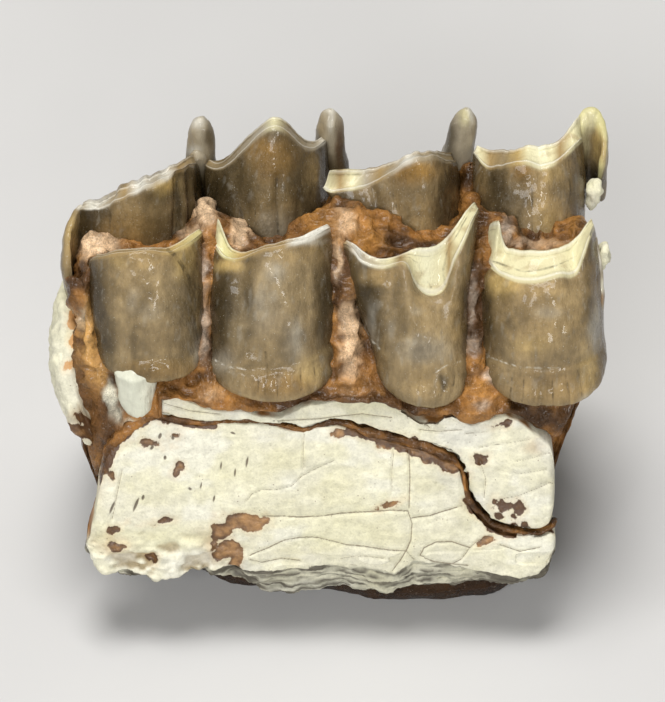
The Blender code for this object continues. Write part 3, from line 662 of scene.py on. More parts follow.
MOLARS = (
    ("rear_molar", (REAR_HIND_INNER, REAR_FRONT_INNER, REAR_HIND_OUTER, REAR_FRONT_OUTER),
     (*REAR_STYLES, ROOT_NECK), (REAR_FOLD,), REAR_BLOCK),
    ("front_molar", (FRONT_HIND_INNER, FRONT_FRONT_INNER, FRONT_HIND_OUTER, FRONT_FRONT_OUTER),
     FRONT_STYLES, (FRONT_FOLD, EDGE_STRIP), FRONT_BLOCK),
)

LOBE_COLUMNS = 122
FACE_ROWS = 74
FACET_ROWS = 18
ARC_FLATNESS = 0.8
HORN_PINCH = 0.22
HORN_SHAPE = 0.6
# The foot is tucked in under the face, and the crest rolled over: shares of the height, and depths in mm.
TUCK_SHARE, TUCK_DEPTH = 0.045, 0.38
ROLL_SHARE, ROLL_DEPTH = 0.015, 0.07
FACET_DEPTH = 0.16


def crescent(left, apex, right, peak, turn):
    """Rows of arcs from left to right through apex: x follows a flattened cosine of the turn, y its sine, and z
    falls from the apex as the reach to the power peak."""
    side = np.where(turn[None, :, None] < math.pi / 2, left[:, None], right[:, None])
    apex = apex[:, None]
    reach = np.abs(np.cos(turn)) ** ARC_FLATNESS
    x = apex[..., 0] + (side[..., 0] - apex[..., 0]) * reach
    y = side[..., 1] + (apex[..., 1] - side[..., 1]) * np.sin(turn)
    z = apex[..., 2] + (side[..., 2] - apex[..., 2]) * reach ** peak
    return np.stack([x, y, z], axis=-1)


def lift_to(profile, edge):
    """How far an edge has to rise to be seen at the profile's height, place by place."""
    across, _ = seen_at(edge)
    places = np.array(profile, float)
    down = smooth_through(np.clip(across, places[0, 0], places[-1, 0]), places[:, 0], places[:, 1])
    return z_seen(edge[:, 1], down) - edge[:, 2]


def face_relief(points, level, across, down, cusp, inner):
    """Relief of a crown's face in mm: upright wrinkles, a beaded base, fine crinkles, ledges, crack grooves and ribs.
    """
    wrinkles = 0.022 * layered(points, (0.5, 0.7, 2.4), 3, 5) + 0.08 * noise(points, (1.9, 1.9, 3.4), 8)
    wrinkles += 0.035 * layered(points, (0.9, 0.9, 1.0), 3, 9)
    beads = 0.055 * noise(points, (0.55, 0.9, 6.0), 12) * smooth_step(0.30, 0.06, level)
    crinkles = 0.020 * layered(points, (0.42, 0.42, 0.55), 2, 15) * smooth_step(0.02, 0.2, level)
    relief = wrinkles + beads + crinkles
    if inner:
        return relief
    for height, places in cusp.ledges:
        places = np.array(places, float)
        below = down - smooth_through(across, places[:, 0], places[:, 1])
        span = smooth_step(places[0, 0] - 4, places[0, 0] + 8, across)
        span = span * smooth_step(places[-1, 0] + 4, places[-1, 0] - 8, across)
        step = smooth_step(-2.0, 3.0, below) * (1.0 - 0.6 * smooth_step(6.0, 34.0, below))
        relief += height * span * step
    if cusp.cracks:
        away = np.maximum(line_distance(across, down, cusp.cracks), 0.0)
        relief -= 0.03 * np.exp(-away ** 2 / 0.01) + 0.03 * np.exp(-away ** 2 / 0.05)
    for height, half_width, places in cusp.ribs:
        away = line_distance(across, down, ((0.0, places),)) * PIXELS_PER_MM
        relief += height * np.exp(-(away / half_width) ** 2)
    return relief


def cusp_walls(cusp, turn, level, ends):
    """The outer and the inner face of a crescent, from foot to crest.

    The outer face at a level between foot and crest is an arc between the two, swollen by a sine of the level and
    by a narrow bell round the foot. The wall behind it thickens from thick at the crest to the solid crown at the
    pit. Both crests are lifted to where the photograph shows them, and the faces follow by the level's fourth
    power."""
    crest, foot = np.array(cusp.crest), np.array(cusp.foot)
    corners = foot + (crest - foot) * level[:, None, None]
    swell = cusp.bulge * np.sin(math.pi * level) + cusp.collar * np.exp(-((level - 0.08) / 0.1) ** 2)
    left, apex, right = corners[:, 0].copy(), corners[:, 1].copy(), corners[:, 2].copy()
    apex[:, 1] -= swell
    drawn_in = np.sin(math.pi * level) ** 1.5
    left[:, 0] += cusp.waist[0] * drawn_in - 0.5 * swell
    right[:, 0] -= cusp.waist[1] * drawn_in - 0.5 * swell
    outer = crescent(left, apex, right, cusp.peak, turn)

    above = np.clip((apex[:, 2] - cusp.pit) / (crest[1, 2] - cusp.pit), 0.0, 1.0)
    deep = cusp.back - apex[:, 1]
    wall = (cusp.thick + (deep - cusp.thick) * (1.0 - above) ** cusp.fall)[:, None]
    shape = np.sin(turn) ** HORN_SHAPE
    inner = outer.copy()
    inner[..., 0] -= (outer[..., 0] - apex[:, None, 0]) * HORN_PINCH * shape
    inner[..., 1] += np.minimum(wall, cusp.back - outer[..., 1]) * shape
    inner[..., 2] += cusp.facet * level[:, None] * shape

    rough = cusp.jag * layered(outer[-1], (0.5, 9.0, 9.0), 3, 31)
    outer_lift = lift_to(cusp.rim, outer[-1]) + rough
    inner_lift = lift_to(cusp.inner_rim, inner[-1]) + 1.5 * rough
    share = level[:, None] ** 4
    outer[..., 2] += share * outer_lift
    inner[..., 2] += share * (outer_lift + (inner_lift - outer_lift) * ends)
    return outer, inner


def cusp_shell(cusp):
    """One crescent: up the outer face from the foot, over the worn facet and down the inner face, closed below.

    The facet runs between the two crests, sunk in the middle. Each end is pinched into one upright edge."""
    turn = np.linspace(0.0, math.pi, LOBE_COLUMNS)
    level = np.linspace(0.0, 1.0, FACE_ROWS)
    ends = smooth_step(0.0, 0.05, np.minimum(turn, math.pi - turn) / math.pi)
    outer, inner = cusp_walls(cusp, turn, level, ends)

    across, down = seen_at(outer)
    relief = face_relief(outer, level[:, None], across, down, cusp, False)
    relief *= smooth_step(1.0, 0.97, level[:, None])
    relief -= TUCK_DEPTH * (1.0 - quarter_round(level[:, None], TUCK_SHARE))
    relief -= ROLL_DEPTH * (1.0 - quarter_round(1.0 - level[:, None], ROLL_SHARE))

    s = np.linspace(0.0, 1.0, FACET_ROWS + 2)[1:-1, None]
    width = np.linalg.norm(inner[-1] - outer[-1], axis=-1)[None]
    facet = outer[-1][None] * (1.0 - s[..., None]) + inner[-1][None] * s[..., None]
    sunk = smooth_step(0.06, 0.26, s) * smooth_step(0.06, 0.22, 1.0 - s)
    facet[..., 2] -= np.minimum(FACET_DEPTH, 0.14 * width) * sunk - 0.02 * noise(facet, 0.5, 41)

    inner_rows = inner[::-1]
    under = np.stack([inner[0] * (1 - k) + outer[0] * k - (0, 0, 0.1) for k in (0.25, 0.75)])
    grid = np.concatenate([outer, facet, inner_rows, under])
    edges = np.cumsum([FACE_ROWS, FACET_ROWS, FACE_ROWS])

    moved = np.zeros(grid.shape[:2])
    moved[:edges[0]] = relief
    inner_level = level[::-1, None]
    moved[edges[1]:edges[2]] = face_relief(inner_rows, inner_level, across, down, cusp, True) * (
        smooth_step(1.0, 0.97, inner_level))
    grid = roughened(grid, moved * ends)

    index = numbered(grid)
    for end in (0, LOBE_COLUMNS - 1):
        index[edges[0]:edges[1], end] = index[edges[0] - 1, end]
        index[edges[1]:edges[2], end] = index[:edges[0], end][::-1]
        index[edges[2]:, end] = index[0, end]
    return shell_from(grid, index, **cusp_marks(cusp, grid, edges, turn, level, s, width))


def worn_tint(cusp, across):
    """The facet's colours, place by place across the photograph."""
    places = np.array([place for place, _ in cusp.worn], float)
    colours = np.array([colour for _, colour in cusp.worn])
    return np.stack([np.interp(across, places, colours[:, k]) for k in range(3)], axis=-1)


def cusp_marks(cusp, grid, edges, turn, level, s, width):
    """Colour, worn rim, cracks and dullness of every point of a crescent."""
    across, down = seen_at(grid)
    wander = 2.5 * np.stack([noise(grid, 1.1, 51), noise(grid, 1.1, 52)])
    across_w, down_w = across + wander[0], down + wander[1]
    fade = facing_camera(grid)

    # Painted shade: the face darkens towards both ends of the crescent, where it turns away from the light.
    middle = np.sin(turn)[None] ** 1.3 + 0.09 * layered(grid, (0.9, 1.4, 4.0), 3, 61)
    tint = mixed(DUSK, TAUPE, smooth_step(0.15, 0.95, middle))
    # deep mixes dark olive over the whole face as painted shade.
    tint = mixed(mixed(tint, AMBER, 0.10 + 0.08 * noise(grid, 3.0, 62)), OLIVE, cusp.deep)
    outer, facet = slice(0, edges[0]), slice(edges[0], edges[1])
    inner = slice(edges[1], edges[2])
    painted = brushed(tint.copy(), cusp.strokes, across_w, down_w, fade)
    tint[outer] = painted[outer]
    mottle = 0.15 * layered(grid, (0.5, 0.5, 0.8), 3, 67) + 0.20 * layered(grid, (1.5, 1.5, 2.0), 3, 68)
    tint = (tint * (1.0 + mottle.clip(-0.4, 0.5))[..., None]).clip(0, 1)
    # Painted highlights: pale flecks of glint where the face looks towards the camera.
    glint_flecks = smooth_step(0.5, 1.0, layered(grid, (0.35, 0.35, 1.4), 3, 69)) * fade
    tint = mixed(tint, GREY_AND_GLINT, 0.2 * glint_flecks)

    worn = np.zeros(grid.shape[:2])
    face = worn_tint(cusp, across[facet])
    face = mixed(face, TAN, 0.45 * smooth_step(0.05, 0.9, layered(grid[facet], (1.3, 0.5, 0.5), 3, 66)))
    edge_line = smooth_step(0.20, 0.04, s) + smooth_step(0.16, 0.03, 1.0 - s)
    face = mixed(face, CHALK, (0.55 * edge_line).clip(0, 1) * np.ones_like(width))
    tint[facet] = face
    worn[facet] = 1.0
    near_rim = smooth_step(0.965, 0.995, level)[:, None]
    tint[outer] = mixed(tint[outer], worn_tint(cusp, across[outer]), 0.8 * near_rim * np.ones_like(width))
    worn[outer] = near_rim
    near_inner = smooth_step(0.93, 0.99, level[::-1])[:, None] * np.ones_like(width)
    tint[inner] = mixed(tint[inner], worn_tint(cusp, across[inner]), 0.7 * near_inner)

    line = np.full(grid.shape[:2], FAR)
    if cusp.cracks:
        away = line_distance(across + 0.5 * wander[0], down, cusp.cracks)
        away = away + 0.05 * layered(grid, (0.5, 0.5, 1.2), 3, 65).clip(-0.3, 1.0)
        front = fade > 0.5
        front[edges[1]:] = False
        line = np.where(front, away, FAR)
    seam = np.minimum(np.abs(s - 0.17), np.abs(s - 0.83)) * width + 0.3 * smooth_step(1.0, 0.5, width)
    line[facet] = np.minimum(line[facet], seam + 0.02 * noise(grid[facet], 0.8, 64))
    pale = np.full(grid.shape[:2], FAR)
    if cusp.pale:
        away = line_distance(across, down + 1.0, cusp.pale)
        front = fade > 0.5
        front[edges[0]:] = False
        pale = np.where(front, away, FAR)
    return {"tint": tint, "worn": worn, "dark_line": line, "pale_line": pale}


def style_shell(style, sides=52, levels=44):
    """A pillar: circles carried from base to tip, the radius changing as level to the power 0.7, with a domed tip
    and a flat base. Upright flutes and small lumps roughen it."""
    tip, base = np.array(style.tip), np.array(style.base)
    turn = once_round(sides)
    level = np.concatenate([[0.0, 0.0], np.linspace(0.01, 0.86, levels - 16),
                            0.87 + 0.13 * np.sin(np.linspace(0.0, math.pi / 2, 14))])
    dome = np.sqrt(np.maximum(0.0, 1.0 - (np.maximum(0.0, level - 0.86) / 0.14) ** 2))
    radius = (style.r_base + (style.r_tip - style.r_base) * level ** 0.7) * dome
    radius[0] = 0.0
    circle = np.stack([np.cos(turn), np.sin(turn), np.zeros(sides)], axis=1)
    grid = base + (tip - base) * level[None, :, None] + circle[:, None] * radius[None, :, None]
    bumps = 0.10 * layered(grid, (0.8, 0.8, 1.8), 3, 71) + 0.04 * noise(grid, 0.35, 72)
    grid = roughened(grid, bumps * np.minimum(1.0, radius / 0.4))

    near_tip = smooth_step(style.shade_from - 0.1, style.shade_from + 0.15, level)[None, :] * np.ones((sides, 1))
    tint = mixed(DUSK, TAUPE, 0.5 + 0.5 * layered(grid, (0.6, 0.6, 2.0), 3, 73).clip(-1, 1))
    tint = painted(grid, mixed(tint, style.shade, near_tip), style.strokes, 74, facing_camera(grid))
    return closed_shell(grid, tint=tint, worn=0.6 * near_tip)


def fold_shell(fold, columns=110, around=44):
    """A fold: a rounded slab carried along its places, drawn together at both ends."""
    ends, (x, y, high, low, thick) = carried(fold.places, columns)
    along = headings(x, y)
    turn = once_round(around)[:, None]
    depth = squarer(np.cos(turn), 0.5) * thick / 2
    level = (high + low) / 2 + squarer(np.sin(turn), 0.8) * (high - low) / 2
    depth -= fold.lean * np.sin(math.pi * np.clip((high - level) / (high - low), 0.0, 1.0) ** 0.6)
    grid = np.stack([x - along[:, 1] * depth, y + along[:, 0] * depth, level], axis=-1)
    grid = rounded_ends(roughened(grid, 0.07 * layered(grid, (0.7, 0.7, 1.4), 3, 91)), ends, 0.5)
    near_rim = smooth_step(1.0, 0.2, high - level)
    tint = mixed(DUSK, TAUPE, 0.5 + 0.3 * layered(grid, (0.7, 0.7, 2.0), 3, 92))
    tint = painted(grid, mixed(tint, fold.shade, near_rim), fold.strokes, 93)
    return closed_shell(grid, tint=tint, worn=0.5 * near_rim)


def block_shell(corners, sides=90):
    """The crown's solid base: superellipse rings, joined to a point below and above."""
    x0, x1, y0, y1 = corners
    turn = once_round(sides)
    outline = squarer(np.stack([np.cos(turn), np.sin(turn)], axis=1), 0.5)
    heights, shares = np.array(BLOCK_RINGS).T
    z = np.concatenate([[heights[0]], np.linspace(heights[0], heights[-1], 22), [heights[-1]]])
    share = np.interp(z, heights, shares)
    share[[0, -1]] = 0.0
    middle, half = np.array([x0 + x1, y0 + y1]) / 2, np.array([x1 - x0, y1 - y0]) / 2
    grid = np.zeros((sides, len(z), 3))
    grid[..., :2] = middle + outline[:, None] * half * share[None, :, None]
    grid[..., 2] = z
    grid = roughened(grid, 0.05 * layered(grid, (1.0, 1.0, 3.0), 3, 81) * (share > 0))
    return closed_shell(grid, tint=mixed(DUSK, TAN, 0.5 + 0.5 * layered(grid, (1.0, 1.0, 3.0), 3, 82).clip(-1, 1)))


# Bone

# The palate side of the bone leans out towards its lower edge.
RIM_Y = -8.3
RIM_Z = 16.1
FLARE = 0.42
PLATE_THICK = 2.3
PLATE_BULGE = 0.35
TOP_ROUND = 0.12
OVER_ROWS = 8

# Edges of the palate bone as the photograph shows them.
PLATE_TOP = (
    (86, 544), (90, 534), (95, 520), (98, 500), (102, 478), (107, 458), (114, 445), (122, 438), (136, 426),
    (150, 421),
    (175, 425), (200, 427), (230, 426), (262, 425), (285, 430), (303, 433), (320, 429), (334, 427), (352, 431),
    (366, 438), (384, 441), (402, 447), (424, 452), (446, 463), (458, 468), (462, 484), (466, 500), (474, 514),
    (486, 527), (500, 534), (520, 538), (540, 537), (556, 530),
)
PLATE_LIP = (
    (86, 550), (94, 561), (106, 571), (124, 570), (140, 572), (154, 578), (172, 575), (194, 570), (214, 570),
    (226, 566), (240, 568), (254, 572), (272, 572), (290, 568), (312, 567), (334, 566), (352, 566), (372, 568),
    (394, 573), (404, 567), (414, 560), (430, 561), (446, 563), (462, 566), (480, 570), (500, 573), (520, 577),
    (536, 574), (548, 562), (556, 548),
)
PLATE_FOOT = (
    (86, 552), (94, 563), (106, 573), (124, 573), (140, 575), (154, 580), (172, 578), (194, 573), (214, 574),
    (230, 576), (246, 583), (262, 590), (284, 594), (306, 594), (324, 589), (342, 588), (360, 592), (380, 595),
    (400, 591), (424, 588), (446, 586), (470, 583), (492, 582), (512, 584), (530, 580), (546, 572), (556, 556),
)
RIM_TOP = (
    (152, 404), (160, 398), (178, 399), (200, 407), (220, 412), (240, 412), (260, 417), (280, 418), (296, 411),
    (312, 405), (330, 402), (350, 400), (372, 399), (384, 403), (396, 410), (406, 415), (420, 424), (436, 424),
    (444, 417), (452, 416), (462, 422), (472, 425), (490, 420), (506, 416), (518, 421), (530, 430), (544, 441),
    (556, 452),
)
RIM_FOOT = (
    (152, 410), (160, 414), (178, 416), (200, 419), (232, 419), (262, 419), (285, 423), (303, 425), (320, 421),
    (334, 419), (352, 421), (366, 424), (384, 430), (402, 434), (424, 441), (446, 450), (458, 456), (466, 465),
    (470, 480), (474, 494), (484, 508), (494, 518), (506, 524), (522, 528), (540, 527), (556, 520),
)

PLATE_CRACKS = (
    (0.7, ((262, 517), (284, 517), (300, 518), (318, 517), (340, 514), (364, 512), (390, 510), (408, 511))),
    (0.6, ((408, 511), (412, 524), (411, 540), (406, 552))),
    (0.6, ((250, 556), (268, 549), (284, 541), (300, 538), (318, 538), (330, 541), (346, 545), (366, 547),
           (388, 550), (406, 551))),
    (0.6, ((412, 518), (430, 516), (450, 510), (462, 506))),
    (0.6, ((409, 450), (410, 480), (409, 508))),
    (0.35, ((394, 450), (392, 470), (392, 492))),
    (0.35, ((304, 434), (303, 452), (304, 468))),
    (0.35, ((246, 502), (252, 494), (262, 490), (276, 490), (292, 486), (302, 476), (318, 468), (334, 461))),
    (0.5, ((406, 551), (400, 562), (392, 572))),
    (0.5, ((406, 551), (414, 560))), (0.6, ((420, 556), (424, 548), (436, 542), (452, 542), (470, 548))),
    (0.5, ((420, 556), (434, 561), (452, 563), (468, 565))), (0.4, ((470, 548), (478, 541), (492, 536))),
    (0.4, ((470, 548), (462, 558), (452, 563))), (0.5, ((250, 560), (262, 564), (282, 560), (300, 562))),
    (0.35, ((122, 470), (116, 500), (112, 520))), (0.3, ((340, 560), (362, 556), (384, 558))),
    (0.4, ((500, 545), (520, 552), (540, 548))),
)
RIM_CRACKS = (
    (0.5, ((282, 421), (320, 419), (362, 414), (392, 418))), (0.4, ((466, 434), (486, 432), (508, 428))),
    (0.4, ((480, 448), (504, 444), (530, 440))), (0.35, ((516, 462), (534, 458), (552, 452))),
    (0.4, ((500, 500), (520, 496), (540, 488), (556, 480))), (0.35, ((496, 470), (520, 474), (546, 470))),
    (0.5, ((408, 416), (420, 420), (430, 428))), (0.4, ((420, 430), (440, 432), (462, 430))),
    (0.4, ((164, 404), (190, 411), (220, 414))), (0.4, ((480, 462), (486, 480), (484, 498))),
)
PLATE_STAINS = (
    (243, 521, 23, 10, 5), (222, 532, 10, 12, 30), (229, 548, 12, 11, 60), (236, 564, 7, 15, 10), (218, 556, 6, 8, 0),
    (392, 503, 11, 4, -20),
    (487, 541, 9, 4, -8), (180, 466, 5, 5, 60), (176, 436, 4, 3, 0), (147, 443, 12, 2.6, 8), (117, 546, 7, 4, 0),
    (151, 560, 5, 6, 60), (163, 521, 8, 2.4, -8), (114, 529, 6, 2.6, -20), (112, 478, 4, 5, 0), (104, 470, 3, 8, 10),
    (176, 474, 3, 5, 10), (214, 546, 4, 5, 0), (362, 436, 9, 4, 20), (384, 446, 8, 3, 20), (338, 433, 6, 3, 0),
)
RIM_STAINS = (
    (480, 459, 7, 5, -10), (466, 476, 5, 8, 20), (470, 507, 8, 6, 30), (486, 519, 8, 5, 30), (503, 507, 11, 6, -8),
    (519, 508, 6, 7, 0), (494, 502, 4, 3, 0), (512, 529, 4, 6, 20), (524, 523, 2.5, 3, 0), (532, 532, 12, 3, 4),
    (551, 527, 7, 3, -20), (502, 424, 10, 3, -20), (512, 516, 4, 3, 0), (500, 515, 6, 3, 30),
)
# Brown edges along the long crack: half widths and places in the photograph.
CRACK_STAINS = (
    (4, ((108, 462), (112, 448), (122, 438), (136, 428))), (3, ((136, 428), (154, 416), (190, 424), (214, 427))),
    (6, ((352, 430), (384, 438), (400, 444))), (8, ((400, 444), (424, 451), (444, 460), (455, 467))),
    (5, ((466, 500), (476, 512), (488, 523))), (6, ((488, 523), (500, 530), (512, 531))), (2, ((512, 531),
    (552, 529))),
)
PLATE_PITS = (
    (247, 462, 1, 5, 10), (235, 473, 0.9, 4, 5), (221, 466, 0.8, 3.5, 5), (136, 505, 1.3, 7, 22),
    (112, 508, 1.2, 6, 22),
    (190, 489, 2, 1.2, 30), (201, 486, 0.7, 3, 10), (143, 498, 1.4, 2.5, 10), (173, 438, 1.5, 2, 0),
    (214, 499, 1, 3, 10),
    (233, 433, 2.6, 1, 20), (160, 436, 1.5, 3, 20), (152, 448, 1.4, 2.6, 30), (165, 458, 1.4, 2, 0),
)

PLATE_STROKES = (
    (LEMON, 0.6, 205, 475, 70, 30), (LEMON, 0.5, 350, 480, 70, 40), (LEMON, 0.65, 330, 528, 80, 22),
    (LEMON, 0.7, 150, 540, 60, 14), (ASHEN, 0.35, 445, 475, 18, 20), (ASHEN, 0.55, 238, 566, 14, 8),
    (ASHEN, 0.25, 300, 470, 30, 10), (ORANGE, 0.30, 112, 545, 18, 10), (ORANGE, 0.28, 210, 540, 18, 14),
    (ORANGE, 0.22, 100, 470, 8, 26), (ASHEN, 0.25, 450, 556, 30, 8), (LEMON, 0.5, 520, 556, 34, 14),
)
RIM_STROKES = (
    (ASHEN, 0.35, 290, 416, 30, 5), (ASHEN, 0.45, 470, 436, 24, 8), (LEMON, 0.4, 520, 470, 28, 30),
    (LEMON, 0.4, 370, 408, 30, 7), (ASHEN, 0.3, 546, 470, 8, 30), (ORANGE, 0.3, 540, 445, 14, 8),
)

# The lower edge in section: how far back each step lies in mm, and its share of the drop below the lip.
TERRACES = ((0.0, 0.0), (0.03, 0.08), (0.20, 0.10), (0.23, 0.36), (0.26, 0.42), (0.46, 0.44), (0.49, 0.72),
            (0.52, 0.80), (0.74, 0.82), (0.80, 1.0), (1.5, 0.98), (PLATE_THICK, 0.35))


# Relief of the palate bone in mm: waves, pores, knobs at the hind corner, cracks, stains, pits, steps and splinters.
WAVES, BONE_GRAIN, PORE_DEPTH, KNOBS = 0.10, 0.022, 0.05, 0.42
CRACK_DEPTH, STAIN_DEPTH, PIT_DEPTH, STEPS, SPLINTERS = 0.08, 0.06, 0.09, 0.10, 0.17
# The levels of the painted shade in the gaps between the layers of the broken edge, as shares of its drop.
SHELF_LEVELS = np.array([0.10, 0.30, 0.50, 0.70, 0.92])


def plate_y(z):
    """The palate face of the bone at this height."""
    return RIM_Y - (RIM_Z - z) * FLARE


def plate_z_seen(down):
    """The height of the palate face where it is seen this far down the photograph."""
    slope = sight_slope(down)
    return (EYE[2] + (RIM_Y - RIM_Z * FLARE - EYE[1]) * slope) / (1.0 - FLARE * slope)


def plate_edge(places, x, rough, seed):
    """Height of an edge of the palate face above each x: the photograph's places carried on to the face, with
    small breaks added."""
    places = np.array(places, float)
    z = plate_z_seen(places[:, 1])
    knots = x_seen(places[:, 0], plate_y(z), z)
    line = np.interp(x, knots, z)
    chips = np.stack([x, np.full_like(x, seed), np.zeros_like(x)], axis=-1)
    return line + rough * layered(chips, 0.9, 4, seed)


# A strip of the bone: the ends of it across the photograph and how far down they are, its three edges, the
# columns along it and the rows down its face, and its marks. A strip with no foot ends at its lip.
Strip = namedtuple("Strip", "ends ends_down top lip foot columns face_rows cracks stains pits strokes seed")

STRIPS = (
    ("palate_bone", "palate_plate", Strip((86, 556), 545, PLATE_TOP, PLATE_LIP, PLATE_FOOT, 520, 120, PLATE_CRACKS,
                                          PLATE_STAINS, PLATE_PITS, PLATE_STROKES, 300)),
    ("rim_bone", "alveolar_rim", Strip((157, 556), 430, RIM_TOP, RIM_FOOT, None, 440, 60, RIM_CRACKS, RIM_STAINS, (),
                                       RIM_STROKES, 360)),
)


def strip_section(z_top, z_lip, z_foot, face_rows):
    """A strip's section above each x, as rows of y and z, and each broken step's share of the drop below the lip.

    It runs down the swollen face, back under it in steps, up the back and over the top edge in a quarter round."""
    t = np.linspace(0.0, 1.0, face_rows)[:, None]
    t = t * t * (3 - 2 * t) * 0.3 + t * 0.7
    face_z = z_top + (z_lip - z_top) * t
    swell = PLATE_BULGE * np.minimum(1.0, (z_top - z_lip) / 8) * np.sin(math.pi * t) ** 0.8
    k = np.linspace(0.0, len(TERRACES) - 1, 34)[1:]
    back_step, drop = (np.interp(k, np.arange(len(TERRACES)), values)[:, None] for values in zip(*TERRACES))
    tall = z_lip - z_foot
    recess = back_step + FLARE * tall * drop
    step_z = z_lip - tall * drop - 0.9 * np.minimum(recess, 1.4) * smooth_step(0.0, 0.5, tall)
    back_z = step_z[-1] + (z_top - TOP_ROUND - step_z[-1]) * np.linspace(0.0, 1.0, 16)[1:-1, None]
    q = np.linspace(0.0, 1.0, OVER_ROWS + 1)[:-1, None]
    over_z = z_top - TOP_ROUND + TOP_ROUND * np.sin(math.pi / 2 * q)
    over_y = plate_y(z_top) + PLATE_THICK * (1.0 - q)
    y = [plate_y(face_z) - swell, plate_y(z_lip) + back_step, plate_y(back_z) + PLATE_THICK, over_y]
    return np.concatenate(y), np.concatenate([face_z, step_z, back_z, over_z]), drop


def bone_strip(strip):
    """A slab of the palate bone: its section carried along x, roughened, cracked and stained where the photograph
    shows it, with both ends rounded off to a point."""
    _, _, top, lip, foot, columns, face_rows, cracks, stains, pits, strokes, seed = strip
    z_end = plate_z_seen(float(strip.ends_down))
    x0, x1 = (x_seen(across, plate_y(z_end), z_end) for across in strip.ends)
    x = np.linspace(x0, x1, columns)
    z_top, z_lip = plate_edge(top, x, 0.05, seed), plate_edge(lip, x, 0.06, seed + 3)
    z_foot = plate_edge(foot, x, 0.07, seed + 6) if foot else z_lip - TOP_ROUND
    z_lip = np.minimum(z_lip, z_top - 0.3)
    z_foot = np.minimum(z_foot, z_lip - 0.06)

    y, z, drop = strip_section(z_top, z_lip, z_foot, face_rows)
    grid = np.stack([np.broadcast_to(x, y.shape), y, z], axis=-1)

    across, down = seen_at(grid)
    away_crack = line_distance(across, down, cracks)
    wander = 0.20 * layered(grid, 0.6, 4, seed + 9)
    away_filling = line_distance(across, down, CRACK_STAINS)
    away_stain = np.minimum(spot_distance(across, down, stains), away_filling) + wander
    away_pit = spot_distance(across, down, pits)
    under = slice(face_rows, face_rows + len(drop))
    face, broken, over = np.zeros((3, *y.shape))
    face[:face_rows] = broken[under] = over[-OVER_ROWS:] = 1.0
    relief = WAVES * layered(grid, (4.0, 3.0, 2.2), 3, seed + 12)
    relief += BONE_GRAIN * layered(grid, (0.9, 0.5, 0.35), 3, seed + 15)
    relief -= PORE_DEPTH * smooth_step(0.16, 0.05, nearest_seeds(grid, 0.75, seed + 18))
    knobs = smooth_step(8.6, 6.6, grid[..., 2]) * smooth_step(-4.0, -9.0, grid[..., 0])
    rough_edge = layered(grid, (1.5, 1.5, 0.9), 3, seed + 21)
    relief += knobs * KNOBS * rough_edge
    relief -= face * CRACK_DEPTH * np.exp(-np.maximum(away_crack, 0.0) ** 2 / 0.005)
    relief -= face * STAIN_DEPTH * smooth_step(0.03, -0.06, away_stain)
    relief -= face * PIT_DEPTH * smooth_step(0.02, -0.03, away_pit)
    steps_low = smooth_step(7.4, 6.0, grid[..., 2]) * smooth_step(-5.6, -4.6, grid[..., 0])
    relief += face * steps_low * STEPS * np.sign(noise(grid, (2.6, 9.0, 0.8), seed + 24))
    relief += broken * SPLINTERS * layered(grid, (0.9, 0.5, 0.3), 4, seed + 27)
    grid = rounded_ends(roughened(grid, relief), np.minimum(x - x0, x1 - x), 0.45)

    mottle = 0.5 + 0.5 * layered(grid, 1.6, 3, seed + 30)
    tint = mixed(IVORY, LEMON, 0.5 * mottle.clip(0, 1))
    tint = brushed(tint, strokes, across + 8 * noise(grid, 1.5, seed + 33), down + 6 * noise(grid, 1.5, seed + 34))
    strata = smooth_step(-0.2, 0.5, noise(grid, (2.0, 0.35, 0.25), seed + 36))
    tint = mixed(tint, HOLLOW, 0.8 * knobs * smooth_step(-0.1, -0.6, rough_edge))
    patchy = layered(grid, (3.0, 2.0, 1.6), 4, seed + 48)
    tint = mixed(tint, YELLOWED, 0.40 * smooth_step(0.1, 0.9, patchy))
    tint = mixed(tint, BLEACHED, 0.50 * smooth_step(-0.1, -0.8, patchy))
    tint = mixed(tint, SPLINTER, broken * (0.30 + 0.6 * strata))
    # Painted shade: dark bands just below each overhanging layer of the broken edge.
    bent = drop + 0.10 * noise(grid[under], (1.6, 9.0, 9.0), seed + 41)
    shelf = np.abs(bent - SHELF_LEVELS[:, None, None]).min(axis=0) * (z_lip - z_foot)
    gate = smooth_step(-0.5, 0.1, noise(grid[under], (1.4, 0.7, 0.5), seed + 42))
    tint[under] = mixed(tint[under], SHELF_SHADOW, 0.9 * gate * smooth_step(0.13, 0.04, shelf))
    inside = 1.0 - face - broken
    away_lip = np.abs(z - z_lip) + 0.05 * layered(grid, (1.1, 9.0, 9.0), 3, seed + 45) + 0.03
    away_lip = away_lip + FAR * smooth_step(0.35, 0.15, z_lip - z_foot)
    away_crack = np.minimum(away_crack, away_lip) + FAR * inside
    tint = mixed(tint, RUST, inside * smooth_step(-0.1, 0.5, layered(grid, 2.0, 3, seed + 39)))
    hidden = FAR * (1.0 - face - over)
    tone = 0.30 + 0.20 * smooth_step(-9.0, -4.0, grid[..., 0]) if foot else np.full(y.shape, 0.15)
    tone = tone - 0.28 * smooth_step(0.25, 0.0, away_filling)
    return closed_shell(grid, tint=tint, dark_line=away_crack, stain=away_stain + hidden, pit=away_pit + hidden,
                        tone=tone)


